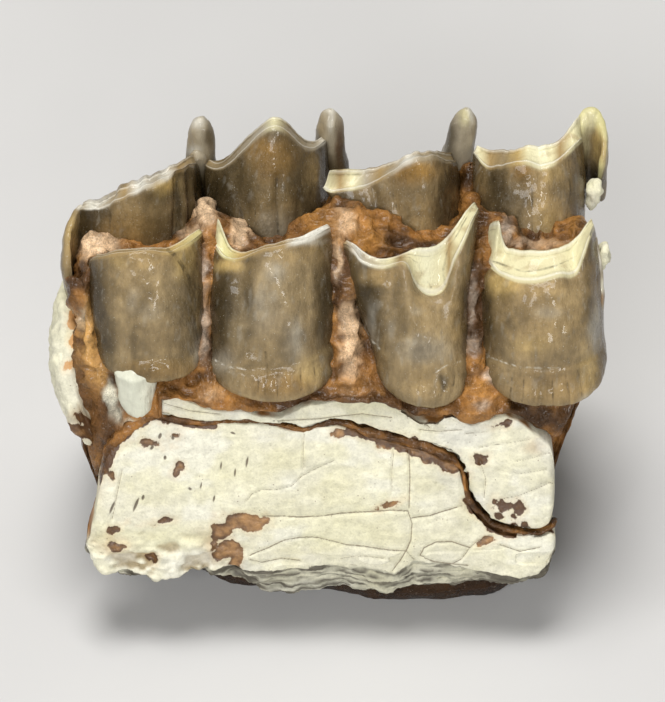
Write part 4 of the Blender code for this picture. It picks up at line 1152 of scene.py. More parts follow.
# The cheek bone's path round the left end and along the outer side: outer x, outer y, lower z, upper z, thickness.
CHEEK_STATIONS = (
    (-15.6, -8.0, 11.2, 13.2, 1.2), (-16.7, -7.3, 12.6, 15.6, 1.3), (-17.5, -5.7, 12.8, 18.4, 1.3),
    (-17.8, -3.0, 11.8, 19.7, 1.3), (-17.7, 0.6, 9.6, 19.2, 1.3), (-17.0, 4.0, 6.6, 17.6, 1.1),
    (-15.0, 7.4, 4.4, 16.2, 1.5), (-10.5, 9.0, 3.4, 15.9, 2.1), (-6.0, 9.5, 3.2, 15.6, 2.5),
    (-1.0, 9.6, 3.4, 15.8, 2.7), (4.0, 9.7, 3.6, 15.6, 2.8), (9.0, 9.5, 3.6, 15.8, 2.6),
    (13.0, 9.1, 4.4, 15.4, 2.2), (15.4, 8.6, 6.6, 14.2, 1.7),
)
# Its section, point by point: shares of the thickness, of the swelling and of the height, and mm above.
CHEEK_SECTION = (
    (0.35, 0, 0, 0), (0, 0, 0.10, 0), (0, 0.8, 0.3, 0), (0, 1, 0.5, 0), (0, 0.7, 0.75, 0), (0, 0, 1, -0.4),
    (0.4, 0, 1, 0), (1, 0, 1, -0.4), (1, 0, 0.66, 0), (1, 0, 0.33, 0), (1, 0, 0, 0.3),
)
CHEEK_SWELL = 0.5
CHEEK_COLUMNS = 300
CHEEK_AROUND = 110
# Root swellings on the cheek side: x, strength in mm.
ROOT_SWELLS = ((-12.4, 0.30), (-4.2, 0.34), (5.0, 0.32), (12.8, 0.28))
CHEEK_STAINS = (
    (74, 316, 8, 15, 5), (78, 340, 10, 10, -10), (93, 366, 8, 16, -25), (97, 388, 7, 12, -20), (76, 362, 8, 4, -20),
    (84, 417, 13, 6, 20), (92, 404, 5, 9, 0), (100, 430, 8, 16, 0), (98, 455, 8, 14, 0), (78, 432, 16, 8, 25),
)
CHEEK_STROKES = (
    (IVORY, 0.7, 66, 372, 12, 26), (ASHEN, 0.35, 62, 330, 8, 20), (UMBER, 0.6, 82, 414, 14, 8),
    (IVORY, 0.5, 82, 388, 12, 8), (ASHEN, 0.3, 92, 300, 6, 12), (ORANGE, 0.6, 86, 350, 12, 26),
)


def cheek_shell():
    """The outer wall: an upright slab carried round the hind end and along the cheek side, swollen over the roots
    of the teeth and rounded off at both ends."""
    ends, (x, y, low, high, thick) = carried(CHEEK_STATIONS, CHEEK_COLUMNS)
    along = headings(x, y)
    through, swollen, up, above = np.array(CHEEK_SECTION).T[..., None]
    t = np.linspace(0.0, len(CHEEK_SECTION), CHEEK_AROUND, endpoint=False)
    depth = closed_through(t, through * thick - swollen * CHEEK_SWELL)
    level = closed_through(t, low + up * (high - low) + above)
    grid = np.stack([x + along[:, 1] * depth, y - along[:, 0] * depth, level], axis=-1)

    outer_side = smooth_step(0.45, 0.0, depth / thick)
    across, down = seen_at(grid)
    away_stain = spot_distance(across, down, CHEEK_STAINS) + 0.30 * layered(grid, 0.9, 4, 107)
    relief = 0.16 * layered(grid, (3.0, 3.0, 2.2), 3, 101) + 0.05 * layered(grid, 0.6, 3, 102)
    for centre, strength in ROOT_SWELLS:
        bell = np.exp(-((grid[..., 0] - centre) / 1.9) ** 2) * smooth_step(-2.0, 5.0, grid[..., 1])
        relief += strength * bell * outer_side * smooth_step(low + 2.0, high - 1.0, grid[..., 2])
    relief -= 0.07 * smooth_step(0.24, 0.06, nearest_seeds(grid, 0.9, 103))
    rugged = smooth_step(-15.0, -16.2, grid[..., 0]) * smooth_step(2.0, -2.0, grid[..., 1])
    relief += rugged * 0.16 * layered(grid, 0.8, 4, 104)
    grid = rounded_ends(roughened(grid, relief), ends, 1.3)

    tint = mixed(IVORY, LEMON, (0.4 + 0.5 * layered(grid, 2.2, 3, 105)).clip(0, 1))
    tint = brushed(tint, CHEEK_STROKES, across + 3 * noise(grid, 1.0, 108), down + 3 * noise(grid, 1.0, 109))
    patches = layered(grid, (3.4, 3.4, 2.6), 4, 106)
    away = np.where(grid[..., 1] < 1.0, away_stain, FAR)
    away = np.minimum(away, FAR * (1.0 - smooth_step(0.0, 3.0, grid[..., 1])) + (0.42 - patches) * 1.2)
    away = np.minimum(away, 0.25 + outer_side * 2.0)
    tone = 0.42 + (0.70 - 0.92 * smooth_step(395, 415, down)) * smooth_step(2.0, -1.0, grid[..., 1])
    return closed_shell(grid, tint=tint, stain=away, tone=tone)


# Loose bone chips on the broken front end: node, middle and half sizes.
FLAKES = (
    ("edge_flake_upper", (17.05, 4.1, 23.3), (0.5, 0.7, 1.2)),
    ("edge_flake_lower", (17.45, -2.2, 23.4), (0.35, 0.65, 1.05)),
)


def flake_shell(middle, half, seed, sides=40, levels=26):
    """A bone chip: a ball squared off a little, tapered, tilted, squeezed to its half sizes and roughened."""
    turn, rise = once_round(sides)[:, None], np.linspace(0.0, math.pi, levels)
    ball = np.stack([np.cos(turn) * np.sin(rise), np.sin(turn) * np.sin(rise), 0 * turn - np.cos(rise)], axis=-1)
    ball = squarer(ball, 0.85)
    ball[..., :2] *= 0.85 + 0.3 * ball[..., 2:]
    ball[..., 0] += 0.35 * ball[..., 2]
    grid = np.array(middle) + ball * np.array(half)
    grid = roughened(grid, 0.20 * layered(grid, 0.6, 3, seed) * np.sin(rise))
    return closed_shell(grid, tint=mixed(IVORY, LEMON, (0.5 + 0.5 * layered(grid, 0.8, 3, seed + 1)).clip(0, 1)))


# Sediment

# x by x: level of its underside, y of its foot, y of its lap over the rim, then y of its front behind the lobes at
# z 17.2, 18.6, 20.6 and 22.8, then its level at the front edge of the valley and at y -2.2, -0.8, 0.8, 2.4, 4.2 and
# 6.0, and last the y of its back wall.
FILL_STATIONS = (
    (-17.3, 12.0, -4.2, -4.6, -4.4, -4.2, -3.9, -3.4, 19.2, 19.4, 19.2, 19.0, 18.6, 17.2, 16.5, 1.0),
    (-16.6, 11.2, -5.6, -6.4, -6.2, -5.6, -4.6, -3.6, 22.0, 22.4, 22.2, 21.6, 20.0, 17.5, 16.5, 1.4),
    (-15.8, 9.0, -6.4, -7.2, -7.0, -6.4, -5.3, -4.4, 24.0, 24.2, 23.8, 23.2, 20.5, 17.5, 16.5, 1.8),
    (-15.1, 7.0, -6.8, -7.9, -7.4, -6.2, -4.6, -3.8, 24.2, 24.4, 24.0, 23.4, 21.0, 18.0, 16.8, 3.4),
    (-13.6, 3.2, -7.2, -8.4, -7.4, -5.6, -4.2, -3.6, 24.0, 24.2, 23.8, 23.2, 21.0, 18.5, 17.0, 5.2),
    (-12.0, 2.4, -7.3, -8.5, -7.3, -5.6, -4.2, -3.6, 23.4, 23.6, 23.4, 22.8, 20.0, 18.5, 17.0, 6.0),
    (-9.8, 1.6, -7.5, -8.5, -7.4, -5.6, -4.2, -3.6, 23.6, 24.0, 24.0, 23.4, 21.0, 18.5, 17.0, 6.4),
    (-8.1, 0.6, -7.9, -8.6, -7.4, -5.6, -4.2, -3.6, 24.2, 24.6, 25.2, 25.2, 24.4, 22.6, 20.5, 6.6),
    (-6.6, 0.0, -8.2, -8.5, -7.4, -5.6, -4.2, -3.6, 24.0, 24.6, 24.8, 24.0, 21.0, 18.5, 17.0, 6.6),
    (-4.0, 0.0, -8.4, -8.4, -7.2, -5.6, -4.2, -3.6, 23.4, 23.6, 23.4, 22.8, 20.0, 18.5, 17.0, 6.6),
    (-1.4, 0.0, -8.7, -8.4, -7.3, -5.6, -4.2, -3.6, 23.8, 24.4, 24.8, 24.6, 22.0, 19.0, 17.0, 6.6),
    (0.8, 0.0, -9.1, -8.7, -7.4, -5.7, -4.2, -3.6, 24.4, 24.8, 25.2, 25.4, 24.8, 22.8, 20.5, 6.8),
    (2.4, 0.0, -9.6, -8.7, -7.4, -5.7, -4.2, -3.6, 24.0, 24.8, 25.0, 24.8, 22.0, 19.0, 17.0, 6.8),
    (4.4, 0.0, -9.8, -8.5, -7.3, -5.6, -4.2, -3.6, 23.8, 24.2, 24.4, 24.2, 21.0, 18.5, 17.0, 6.8),
    (6.6, 0.0, -9.7, -8.4, -7.2, -5.6, -4.2, -3.6, 23.4, 23.8, 23.6, 23.2, 20.0, 18.5, 17.0, 6.8),
    (9.2, 0.0, -9.3, -8.7, -7.4, -5.7, -4.2, -3.6, 23.8, 24.0, 24.4, 25.0, 24.6, 23.6, 24.4, 6.8),
    (11.0, 0.0, -8.9, -8.6, -7.3, -5.6, -4.2, -3.6, 23.6, 24.2, 24.6, 24.4, 21.0, 18.5, 17.0, 6.8),
    (13.4, 4.4, -8.6, -8.4, -7.2, -5.6, -4.2, -3.6, 23.2, 23.4, 23.4, 23.0, 20.0, 18.5, 17.0, 6.6),
    (14.6, 10.6, -7.4, -8.2, -7.2, -5.6, -4.2, -3.6, 23.2, 23.8, 24.0, 23.8, 21.5, 18.5, 17.0, 6.4),
    (15.8, 14.0, -6.4, -7.0, -6.6, -5.4, -4.0, -3.2, 23.6, 24.2, 24.6, 24.4, 22.0, 18.5, 17.0, 6.0),
    (16.9, 17.0, -4.0, -4.2, -4.2, -4.0, -3.2, -2.4, 23.2, 23.8, 24.0, 24.0, 22.4, 19.0, 17.5, 4.4),
)
# The sediment standing between two lobes: x, half width, and how far forward it comes at each wall level.
GROOVES = (
    (-8.30, 0.55, (0.3, 0.8, 0.7, 0.4)), (0.75, 1.15, (0.4, 1.0, 1.1, 0.9)), (9.05, 0.50, (0.3, 0.9, 0.7, 0.2)),
)
WALL_LEVELS = (17.2, 18.6, 20.6, 22.8)
VALLEY_DEPTHS = (-2.2, -0.8, 0.8, 2.4, 4.2, 6.0)
FILL_COLUMNS = 280
FILL_AROUND = 250
FILL_END_RINGS = 30
FILL_END_RADIUS = 0.7
# Relief of the sediment in mm: lumps, grains and crevices, and the broken ends' waves and ridges.
LUMPS, GRAINS, CREVICES, END_WAVES, END_RIDGES = 0.26, 0.10, 0.5, 0.42, 0.3

# The sediment's colours by place. The very dark strokes in the valley between the cusps are painted shade, and the dark
# strokes along the band under the crowns' feet are partly its own dark brown and partly painted shade under the
# overhanging feet.
FILL_STROKES = (
    (PEACH, 1.0, 205, 206, 12, 18), (PEACH, 0.9, 240, 232, 9, 20), (PEACH, 1.0, 95, 243, 22, 15),
    (PEACH, 0.7, 343, 222, 13, 14), (PEACH, 0.8, 350, 350, 10, 38), (PEACH, 0.6, 347, 320, 8, 14),
    (BLUSH, 0.8, 507, 232, 6, 14), (BLUSH, 0.7, 204, 330, 6, 26), (BLUSH, 0.6, 203, 275, 4, 24),
    (BLUSH, 0.6, 473, 300, 5, 26), (BLUSH, 0.5, 472, 345, 6, 10), (BLUSH, 0.8, 489, 376, 10, 8),
    (BLUSH, 0.7, 482, 404, 9, 6), (PEACH, 0.6, 338, 260, 4, 22), (ORANGE, 0.8, 322, 225, 20, 20),
    (ORANGE, 0.8, 365, 240, 18, 16), (ORANGE, 0.7, 575, 222, 12, 18), (ORANGE, 0.8, 222, 388, 26, 10),
    (PEACH, 0.35, 210, 392, 12, 8), (RUST, 0.6, 190, 385, 24, 8), (ORANGE, 0.6, 352, 385, 22, 10),
    (ORANGE, 0.6, 476, 388, 10, 12), (RUST, 0.7, 462, 400, 14, 14), (RUST, 0.8, 385, 372, 22, 10),
    (UMBER, 0.9, 315, 398, 40, 9), (SHADE_BROWN, 0.75, 536, 414, 44, 16), (UMBER, 0.7, 420, 398, 24, 12),
    (UMBER, 0.7, 270, 402, 30, 5), (RUST, 0.5, 495, 412, 14, 10), (SHADE_BROWN, 0.95, 203, 178, 10, 22),
    (SHADE_BROWN, 0.95, 468, 178, 12, 16), (RUST, 0.7, 458, 150, 10, 10), (RUST, 0.7, 462, 205, 9, 14),
    (UMBER, 0.7, 346, 275, 6, 24), (UMBER, 0.6, 200, 250, 5, 12), (RUST, 0.7, 92, 375, 14, 34),
    (UMBER, 0.6, 108, 425, 16, 20), (SAFFRON, 0.95, 88, 336, 11, 38), (SAFFRON, 0.7, 98, 372, 10, 20),
    (IVORY, 0.3, 80, 318, 6, 12), (IVORY, 0.9, 111, 398, 6, 18),
    (IVORY, 0.8, 136, 424, 12, 5), (IVORY, 0.6, 118, 416, 5, 7), (UMBER, 0.7, 590, 285, 8, 30),
    (RUST, 0.6, 590, 395, 6, 20), (RUST, 0.6, 550, 436, 14, 12), (PEACH, 0.4, 545, 244, 26, 5),
    (BLUSH, 0.5, 520, 244, 12, 4), (UMBER, 0.6, 480, 240, 7, 14), (UMBER, 0.6, 352, 400, 20, 5),
    (UMBER, 0.8, 82, 280, 10, 14), (RUST, 0.7, 78, 300, 8, 10), (PEACH, 0.5, 190, 232, 12, 7),
)


def fill_section(x, columns):
    """The knots of the sediment's section above each x, from the stations' columns.

    It runs along the underside, up behind the palate bone, laps over the bone's rim, climbs between the lobes,
    crosses the valley between the inner and outer cusps and comes down at the back."""
    low, foot, lap = columns[:3]
    walls, front_level, valley, back = columns[3:7].copy(), columns[7], columns[8:14], columns[14]
    rim = np.where(x < -11.0, plate_edge(PLATE_TOP, x, 0.0, 1), plate_edge(RIM_TOP, x, 0.0, 1))
    rim = np.maximum(np.minimum(np.maximum(rim, low + 2.0), 17.0), low + 1.5)
    beyond = smooth_step(14.6, 15.6, x) + smooth_step(-15.0, -15.8, x)
    y, z = [(foot + back) / 2, foot], [low, low]
    for share in (0.3, 0.65, 0.97):
        z.append(low + (rim - low) * share)
        y.append(np.maximum(foot, plate_y(z[-1]) + PLATE_THICK - 0.5))
    y += [lap + 0.6 * (1 - beyond), lap]
    z += [rim + 0.02, np.minimum(rim + 0.45, 16.9)]
    for centre, half_width, forward in GROOVES:
        walls -= np.array(forward)[:, None] * np.exp(-((x - centre) / half_width) ** 4)
    y += [*walls, walls[-1] + 0.9]
    z += [np.maximum(level, rim + 0.5) for level in WALL_LEVELS] + [front_level]
    y += [np.minimum(depth, back - 0.2) for depth in VALLEY_DEPTHS] + [back, back, back - 0.9]
    z += [*valley, np.maximum(15.4, low + 1.0), low + 0.9, low]
    return np.array(y), np.array(z)


def fill_shell():
    """The sediment: its section carried along x, with lumps, grains and crevices, and two broken ends."""
    table = np.array(FILL_STATIONS)
    start, finish = table[0, 0], table[-1, 0]
    cap = FILL_END_RADIUS * (1.0 - np.cos(np.linspace(0.0, math.pi / 2, FILL_END_RINGS)))
    between = np.linspace(start + FILL_END_RADIUS, finish - FILL_END_RADIUS, FILL_COLUMNS)[1:-1]
    x = np.concatenate([start + cap, between, finish - cap[::-1]])
    y, z = fill_section(x, smooth_through(x, table[:, 0], table[:, 1:]).T)
    spacing = np.interp(np.linspace(0, 1, FILL_AROUND, endpoint=False), (0.0, 0.08, 0.9, 1.0), (0, 4.5, 17.5, len(y)))
    y, z = closed_through(spacing, y), closed_through(spacing, z)
    grid = np.stack([np.broadcast_to(x, y.shape), y, z], axis=-1)

    across, down = seen_at(grid)
    shown = smooth_step(5.0, 6.5, spacing)[:, None] * smooth_step(18.5, 16.5, spacing)[:, None]
    lumps = LUMPS * layered(grid, (1.9, 1.5, 1.5), 4, 201) + GRAINS * layered(grid, 0.6, 3, 203)
    lumps += 0.16 - CREVICES * np.abs(noise(grid, (1.0, 0.9, 0.9), 206)) * (0.4 + 0.6 * shown)
    ends = np.minimum(x - start, finish - x)
    grid = rounded_ends(roughened(grid, lumps * (0.35 + 0.65 * shown)), ends, FILL_END_RADIUS)
    broken = END_WAVES * layered(grid, (3.0, 2.4, 2.0), 4, 207)
    broken -= END_RIDGES * np.abs(noise(grid, (3.0, 1.2, 0.9), 208))
    grid[..., 0] += np.sign(x) * broken * smooth_step(1.6, 0.3, ends)
    grid[..., 2] = np.maximum(grid[..., 2], np.where(z < 0.02, 0.0, 0.02))

    blotch = layered(grid, (2.4, 2.0, 2.0), 4, 211)
    tint = mixed(UMBER, RUST, smooth_step(-0.5, 0.7, blotch))
    tint = mixed(tint, ORANGE, 0.5 * smooth_step(0.3, 1.0, layered(grid, 1.1, 3, 212)))
    # Painted shade: the crevices between the lumps are darkened to umber.
    tint = mixed(tint, UMBER, 0.8 * smooth_step(-0.04, -0.26, lumps))
    tint = mixed(tint, ORANGE, 0.4 * smooth_step(0.12, 0.36, lumps))
    wander = 3.5 * np.stack([layered(grid, 0.7, 3, 213), layered(grid, 0.7, 3, 214)])
    tint = brushed(tint, FILL_STROKES, across + wander[0], down + wander[1])
    # Painted shade: the low underside of the sediment, under the bone and the crowns, is darkened to near black.
    shaded_underside = smooth_step(12.0, 8.0, grid[..., 2])
    tint = mixed(tint, SHADE_BROWN, 0.75 * shaded_underside + 0.2 * smooth_step(6.0, 5.0, grid[..., 2]))
    behind = smooth_step(3.5, 5.5, grid[..., 1]) * smooth_step(0.35, 0.8, layered(grid, 1.8, 3, 215))
    tint = mixed(tint, PEACH, 0.5 * behind)
    grain = smooth_step(0.24, 0.42, tint[..., 1])
    return closed_shell(grid, tint=tint, grain=grain)


# Brown filling of the long crack between the plate and the rim, and along the rim's broken front end:
# (across, down, half width), all in the photograph's pixels, and how far it stands proud of the bone in mm.
CRACK_FILLING = (
    (100, 492, 2, -0.1), (104, 478, 4, 0.0), (108, 462, 5, 0.0), (112, 448, 6, 0.02), (120, 440, 7, 0.05),
    (130, 431, 7, 0.05), (142, 422, 6, 0.03), (154, 416, 6, 0.0), (170, 419, 6, 0.03), (190, 422, 6, 0.03),
    (212, 424, 5, 0.0), (236, 423, 4, -0.1), (262, 422, 4, -0.12), (284, 427, 4, -0.05), (303, 430, 4, -0.05),
    (320, 426, 4, -0.1), (334, 423, 5, -0.05), (350, 426, 4, 0.0), (366, 432, 5, 0.03), (384, 436, 5, 0.03),
    (402, 441, 5, 0.03), (424, 447, 6, 0.04), (442, 456, 5, 0.03), (456, 463, 4, 0.0), (463, 474, 2.5, -0.15),
    (465, 486, 3, -0.12), (466, 496, 5, 0.0), (474, 508, 4, 0.0), (485, 519, 4, 0.0), (496, 527, 3, -0.02),
    (508, 531, 4, -0.05), (524, 534, 3, -0.05), (538, 534, 3, -0.03), (550, 529, 3, -0.03), (558, 523, 2, -0.1),
)


def crack_shell(columns=420, sides=26):
    """The filling of the crack: a flattened tube carried along the crack's line on the palate face."""
    _, (across, down, half, proud) = carried(CRACK_FILLING, columns)
    z = plate_z_seen(down)
    y = plate_y(z)
    path = np.stack([x_seen(across, y, z), y, z], axis=1)
    along = np.gradient(path, axis=0)
    along /= np.linalg.norm(along, axis=1)[:, None]
    out = np.array([0.0, -1.0, FLARE]) / math.hypot(1.0, FLARE)
    side = np.cross(along, out)
    place = np.arange(columns)
    close = quarter_round(np.minimum(place, columns - 1 - place), 8.0)
    turn = once_round(sides)[:, None]
    half = half * (1.0 + 0.35 * layered(path, 0.8, 2, 223)) / PIXELS_PER_MM * close
    rise = squarer(np.sin(turn), 0.5) * 0.7 * close + proud - 0.7
    grid = path + side * (np.cos(turn) * half)[..., None] + out * rise[..., None]
    grid = roughened(grid, 0.09 * layered(grid, 0.45, 3, 221) * close)
    return closed_shell(grid, tint=mixed(UMBER, RUST, smooth_step(-0.6, 0.8, layered(grid, (1.5, 1.0, 1.0), 3, 222))))


# Materials


class Recipe:
    """A new material and short calls that add its nodes. place is the Object coordinate in mm."""

    def __init__(self, name):
        self.material = bpy.data.materials.new(name)
        self.material.use_nodes = True
        self.tree = self.material.node_tree
        self.shader = self.tree.nodes["Principled BSDF"]
        self.place = self.stretched((1000.0, 1000.0, 1000.0), self.node("ShaderNodeTexCoord").outputs["Object"])

    def node(self, kind, links=(), **values):
        """Adds a node, sets its values and links or sets its inputs."""
        node = self.tree.nodes.new(kind)
        for name, value in values.items():
            setattr(node, name, value)
        for socket, source in dict(links).items():
            self.plug(node.inputs[socket], source)
        return node

    def plug(self, socket, source):
        """Links the source to an input, or sets the input where the source is a plain value."""
        if isinstance(source, bpy.types.NodeSocket):
            self.tree.links.new(source, socket)
        else:
            socket.default_value = source

    def stretched(self, scale, place=None):
        """The place with each axis multiplied by a scale."""
        links = {0: place or self.place, 1: scale}
        return self.node("ShaderNodeVectorMath", links, operation="MULTIPLY").outputs["Vector"]

    def grain(self, scale, detail=4.0, rough=0.6, place=None):
        """Noise with so many features to the mm."""
        links = {"Vector": place or self.place, "Scale": scale, "Detail": detail, "Roughness": rough}
        return self.node("ShaderNodeTexNoise", links).outputs["Fac"]

    def mark(self, name, output="Fac"):
        """What the mesh carries at each point under this name."""
        return self.node("ShaderNodeAttribute", attribute_name=name).outputs[output]

    def ramp(self, source, low, high, to_low=0.0, to_high=1.0):
        """The source taken from low..high to to_low..to_high, smoothly and without overshoot."""
        links = {"Value": source, "From Min": low, "From Max": high, "To Min": to_low, "To Max": to_high}
        return self.node("ShaderNodeMapRange", links, interpolation_type="SMOOTHSTEP").outputs["Result"]

    def times(self, first, second):
        return self.node("ShaderNodeMath", {0: first, 1: second}, operation="MULTIPLY").outputs[0]

    def plus(self, first, second):
        return self.node("ShaderNodeMath", {0: first, 1: second}, operation="ADD").outputs[0]

    def between(self, share, first, second):
        """A value between two, by the share."""
        return self.node("ShaderNodeMix", {"Factor": share, 2: first, 3: second}, data_type="FLOAT").outputs[0]

    def grey(self, value):
        return self.node("ShaderNodeCombineColor", {0: value, 1: value, 2: value}).outputs[0]

    def blended(self, share, first, second, kind="MIX"):
        """The second colour laid over the first by this share."""
        node = self.node("ShaderNodeMix", data_type="RGBA", blend_type=kind)
        sockets = {socket.identifier: socket for socket in (*node.inputs, *node.outputs)}
        for name, source in (("Factor_Float", share), ("A_Color", first), ("B_Color", second)):
            self.plug(sockets[name], (*source, 1.0) if isinstance(source, tuple) else source)
        return sockets["Result_Color"]

    def shaded(self, shade):
        """The painted tint, made lighter and darker by the shade."""
        return self.blended(1.0, self.mark("tint", "Color"), self.grey(shade), "MULTIPLY")

    def finished(self, colour, rough, bump=None, **fixed):
        """The shader's colour, roughness, fixed values and bump, which is height, distance and strength."""
        self.plug(self.shader.inputs["Base Color"], colour)
        self.plug(self.shader.inputs["Roughness"], rough)
        for name, value in fixed.items():
            self.shader.inputs[name.replace("_", " ")].default_value = value
        if bump:
            node = self.node("ShaderNodeBump", dict(zip(("Height", "Distance", "Strength"), bump)))
            self.plug(self.shader.inputs["Normal"], node.outputs["Normal"])
        return self.material


def enamel_material():
    """Glossy brown enamel: upright streaks, tiny pale specks painted as glints, thin dark cracks and pale ledges;
    duller where worn.
    """
    mix = Recipe("tooth enamel")
    streaks = mix.grain(1.0, 5.0, 0.62, mix.stretched((4.2, 3.0, 0.55)))
    cloud = mix.grain(0.8, 3.0)
    shade = mix.times(mix.ramp(streaks, 0.30, 0.72, 0.89, 1.11), mix.ramp(cloud, 0.3, 0.7, 0.84, 1.16))
    worn = mix.mark("worn")
    colour = mix.shaded(mix.between(worn, shade, 1.0))
    pale = mix.times(mix.ramp(mix.mark("pale_line"), 0.05, -0.03), mix.ramp(mix.grain(2.4), 0.42, 0.58))
    colour = mix.blended(mix.times(pale, 0.5), colour, CHALK)
    dark = mix.ramp(mix.mark("dark_line"), 0.065, -0.02)
    dark = mix.times(dark, mix.ramp(mix.grain(1.7), 0.38, 0.62, 0.15, 0.65))
    colour = mix.blended(dark, colour, OLIVE)
    # Painted glints: tiny pale specks.
    glint_speck = mix.ramp(mix.grain(11.0, 2.0), 0.68, 0.75)
    colour = mix.blended(mix.times(glint_speck, 0.6), colour, CHALK)
    rough = mix.between(worn, mix.ramp(cloud, 0.35, 0.7, 0.22, 0.34), 0.42)
    fine = mix.grain(1.0, 4.0, place=mix.stretched((9.0, 7.0, 3.2)))
    height = mix.plus(mix.times(fine, 0.8), mix.times(streaks, 0.5))
    return mix.finished(colour, rough, (height, 0.00014, 0.6), IOR=1.5, Specular_IOR_Level=0.18, Coat_Weight=0.24,
                        Coat_Roughness=0.06)


def bone_material():
    """Porous ivory bone with brown stains, dark hairline cracks and pits."""
    mix = Recipe("fossil bone")
    mottle = mix.grain(1.6, 5.0, 0.65)
    fine = mix.grain(7.0, 3.0)
    colour = mix.shaded(mix.times(mix.ramp(mottle, 0.3, 0.7, 0.80, 1.00), mix.ramp(fine, 0.25, 0.6, 0.88, 1.01)))
    pores = mix.node("ShaderNodeTexVoronoi", {"Vector": mix.place, "Scale": 2.3}, feature="F1").outputs["Distance"]
    pore = mix.times(mix.ramp(pores, 0.15, 0.06), mix.ramp(mix.grain(1.1, 2.0), 0.48, 0.62))
    colour = mix.blended(mix.times(pore, 0.7), colour, PORE)
    away = mix.mark("stain")
    edge = mix.plus(mix.times(fine, 0.16), away)
    stain = mix.ramp(edge, 0.11, 0.04)
    colour = mix.blended(mix.times(mix.ramp(edge, 0.45, 0.05), 0.22), colour, HALO)
    tone = mix.plus(mix.plus(mix.mark("tone"), mix.ramp(away, -0.02, -0.40, -0.12, 0.12)), mottle)
    brown = mix.blended(mix.ramp(tone, 0.55, 1.5), STAIN_DARK, STAIN_LIGHT)
    colour = mix.blended(stain, colour, brown)
    colour = mix.blended(mix.times(mix.ramp(mix.mark("pit"), 0.03, -0.02), 0.85), colour, PIT)
    crack = mix.ramp(mix.plus(mix.mark("dark_line"), mix.times(fine, 0.05)), 0.045, 0.005)
    colour = mix.blended(mix.times(crack, 0.75), colour, HAIRLINE)
    rough = mix.between(stain, mix.ramp(mottle, 0.3, 0.7, 0.62, 0.5), 0.33)
    return mix.finished(colour, rough, (mix.plus(mottle, mix.times(fine, 0.55)), 0.00015, 0.5), IOR=1.5)


def sediment_material():
    """Varnished brown sediment: glossy where it is dark and smooth, dull and sandy where it is pale."""
    mix = Recipe("brown sediment")
    cloud = mix.grain(1.3, 5.0, 0.6)
    sand = mix.grain(9.0, 3.0, 0.7)
    grain = mix.mark("grain")
    speckle = mix.between(grain, 1.0, mix.ramp(sand, 0.32, 0.66, 0.70, 1.22))
    colour = mix.shaded(mix.times(mix.ramp(cloud, 0.28, 0.72, 0.60, 1.30), speckle))
    dots = mix.ramp(mix.grain(6.0, 2.0), 0.66, 0.72)
    colour = mix.blended(mix.times(dots, 0.35), colour, BLUSH)
    rough = mix.between(grain, mix.ramp(cloud, 0.35, 0.65, 0.18, 0.34), 0.55)
    height = mix.plus(mix.plus(cloud, mix.grain(2.6, 4.0, 0.65)), mix.times(sand, mix.times(grain, 0.6)))
    return mix.finished(colour, rough, (height, 0.00035, 0.6), IOR=1.5, Specular_IOR_Level=0.2, Coat_Weight=0.2,
                        Coat_Roughness=0.12)


# Pieces


def build_pieces():
    """Every piece over the solid that it stands for."""
    enamel, bone, brown = enamel_material(), bone_material(), sediment_material()
    for molar, cusps, styles, folds, block in MOLARS:
        shells = [cusp_shell(cusp) for cusp in cusps] + [style_shell(style) for style in styles]
        shells += [fold_shell(fold) for fold in folds] + [block_shell(block)]
        piece_from(molar + "_enamel", shells, enamel, "enamel", molar)
    for name, node, strip in STRIPS:
        piece_from(name, [bone_strip(strip)], bone, "bone", node)
    piece_from("cheek_wall", [cheek_shell()], bone, "bone", "cheek_bone")
    piece_from("sediment_filling", [fill_shell(), crack_shell()], brown, "sediment", "matrix")
    for seed, (node, middle, half) in enumerate(FLAKES):
        piece_from(node + "_chip", [flake_shell(middle, half, 400 + seed)], bone, "bone", node)


# Floor, light and camera


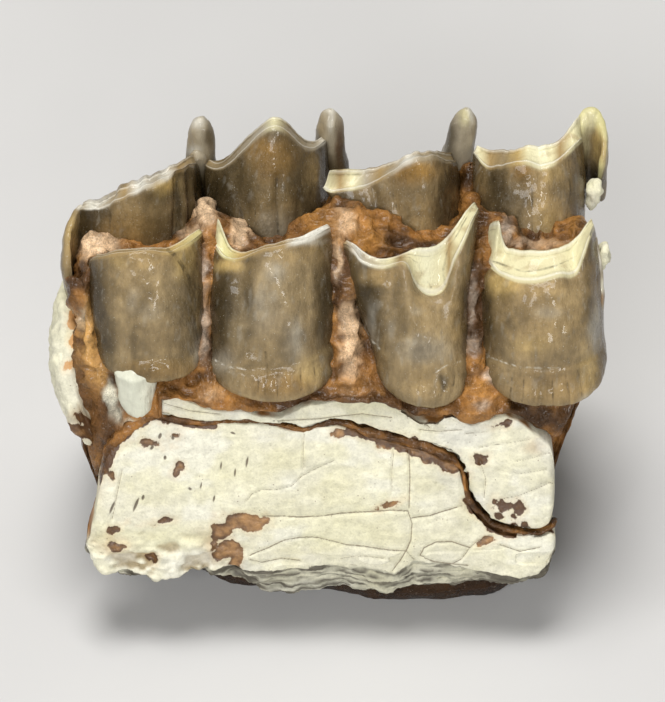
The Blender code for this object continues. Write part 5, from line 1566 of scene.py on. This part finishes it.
def stage_floor():
    """A pale sheet under the piece, rising in a wide curve far behind it."""
    wide, deep = np.meshgrid(np.linspace(-900.0, 900.0, 41), np.linspace(-700.0, 900.0, 61))
    grid = np.stack([wide, deep, np.maximum(0.0, deep - 500.0) ** 2 / 400.0], axis=-1) * MM
    index = numbered(grid)
    quads = np.stack([index[:-1, :-1], index[:-1, 1:], index[1:, 1:], index[1:, :-1]], axis=-1).reshape(-1, 4)
    mesh = bpy.data.meshes.new("floor")
    mesh.from_pydata(grid.reshape(-1, 3).tolist(), [], quads.tolist())
    mesh.shade_smooth()
    mix = Recipe("pale floor")
    mesh.materials.append(mix.finished(mix.grey(mix.ramp(mix.grain(0.02, 3.0), 0.3, 0.7, 0.60, 0.63)), 0.9))
    floor = linked("floor", mesh)


def area_light(name, place, aim_height, size, power, colour=WARM_LIGHT):
    """A rectangular light at a place in metres, aimed at the jaw's middle at this height."""
    data = bpy.data.lights.new(name, "AREA")
    data.shape = "RECTANGLE"
    data.size, data.size_y = size
    data.energy = power
    data.color = colour
    lamp = linked(name, data)
    lamp.location = place
    lamp.rotation_euler = (Vector((0.0, 0.0, aim_height)) - Vector(place)).to_track_quat("-Z", "Y").to_euler()


def set_light():
    """A large soft light overhead, a broad one in front, two small low ones for the gloss and a faint even sky."""
    area_light("overhead", (-0.06, 0.06, 0.60), 0.015, (0.30, 0.26), 3.1)
    area_light("front window", (-0.16, -0.56, 0.40), 0.015, (0.26, 0.20), 2.3, WHITE_LIGHT)
    area_light("low strip", (0.12, -0.60, 0.13), 0.02, (0.12, 0.05), 0.42)
    area_light("low window", (0.02, -0.60, 0.26), 0.02, (0.06, 0.05), 0.26)
    world = bpy.data.worlds.new("studio")
    world.use_nodes = True
    sky = world.node_tree.nodes["Background"].inputs
    sky["Color"].default_value = SKY_LIGHT
    sky["Strength"].default_value = 0.15
    bpy.context.scene.world = world
    bpy.context.scene.view_settings.view_transform = "Standard"


def set_camera():
    """The camera where the photograph was taken from."""
    data = bpy.data.cameras.new("camera")
    data.lens, data.sensor_width, data.clip_start = LENS, SENSOR, 0.01
    camera = linked("camera", data)
    camera.location = Vector(EYE * MM)
    camera.rotation_euler = (math.pi / 2 - LOOK_DOWN, 0.0, 0.0)
    bpy.context.scene.camera = camera


build_pieces()
stage_floor()
set_light()
set_camera()
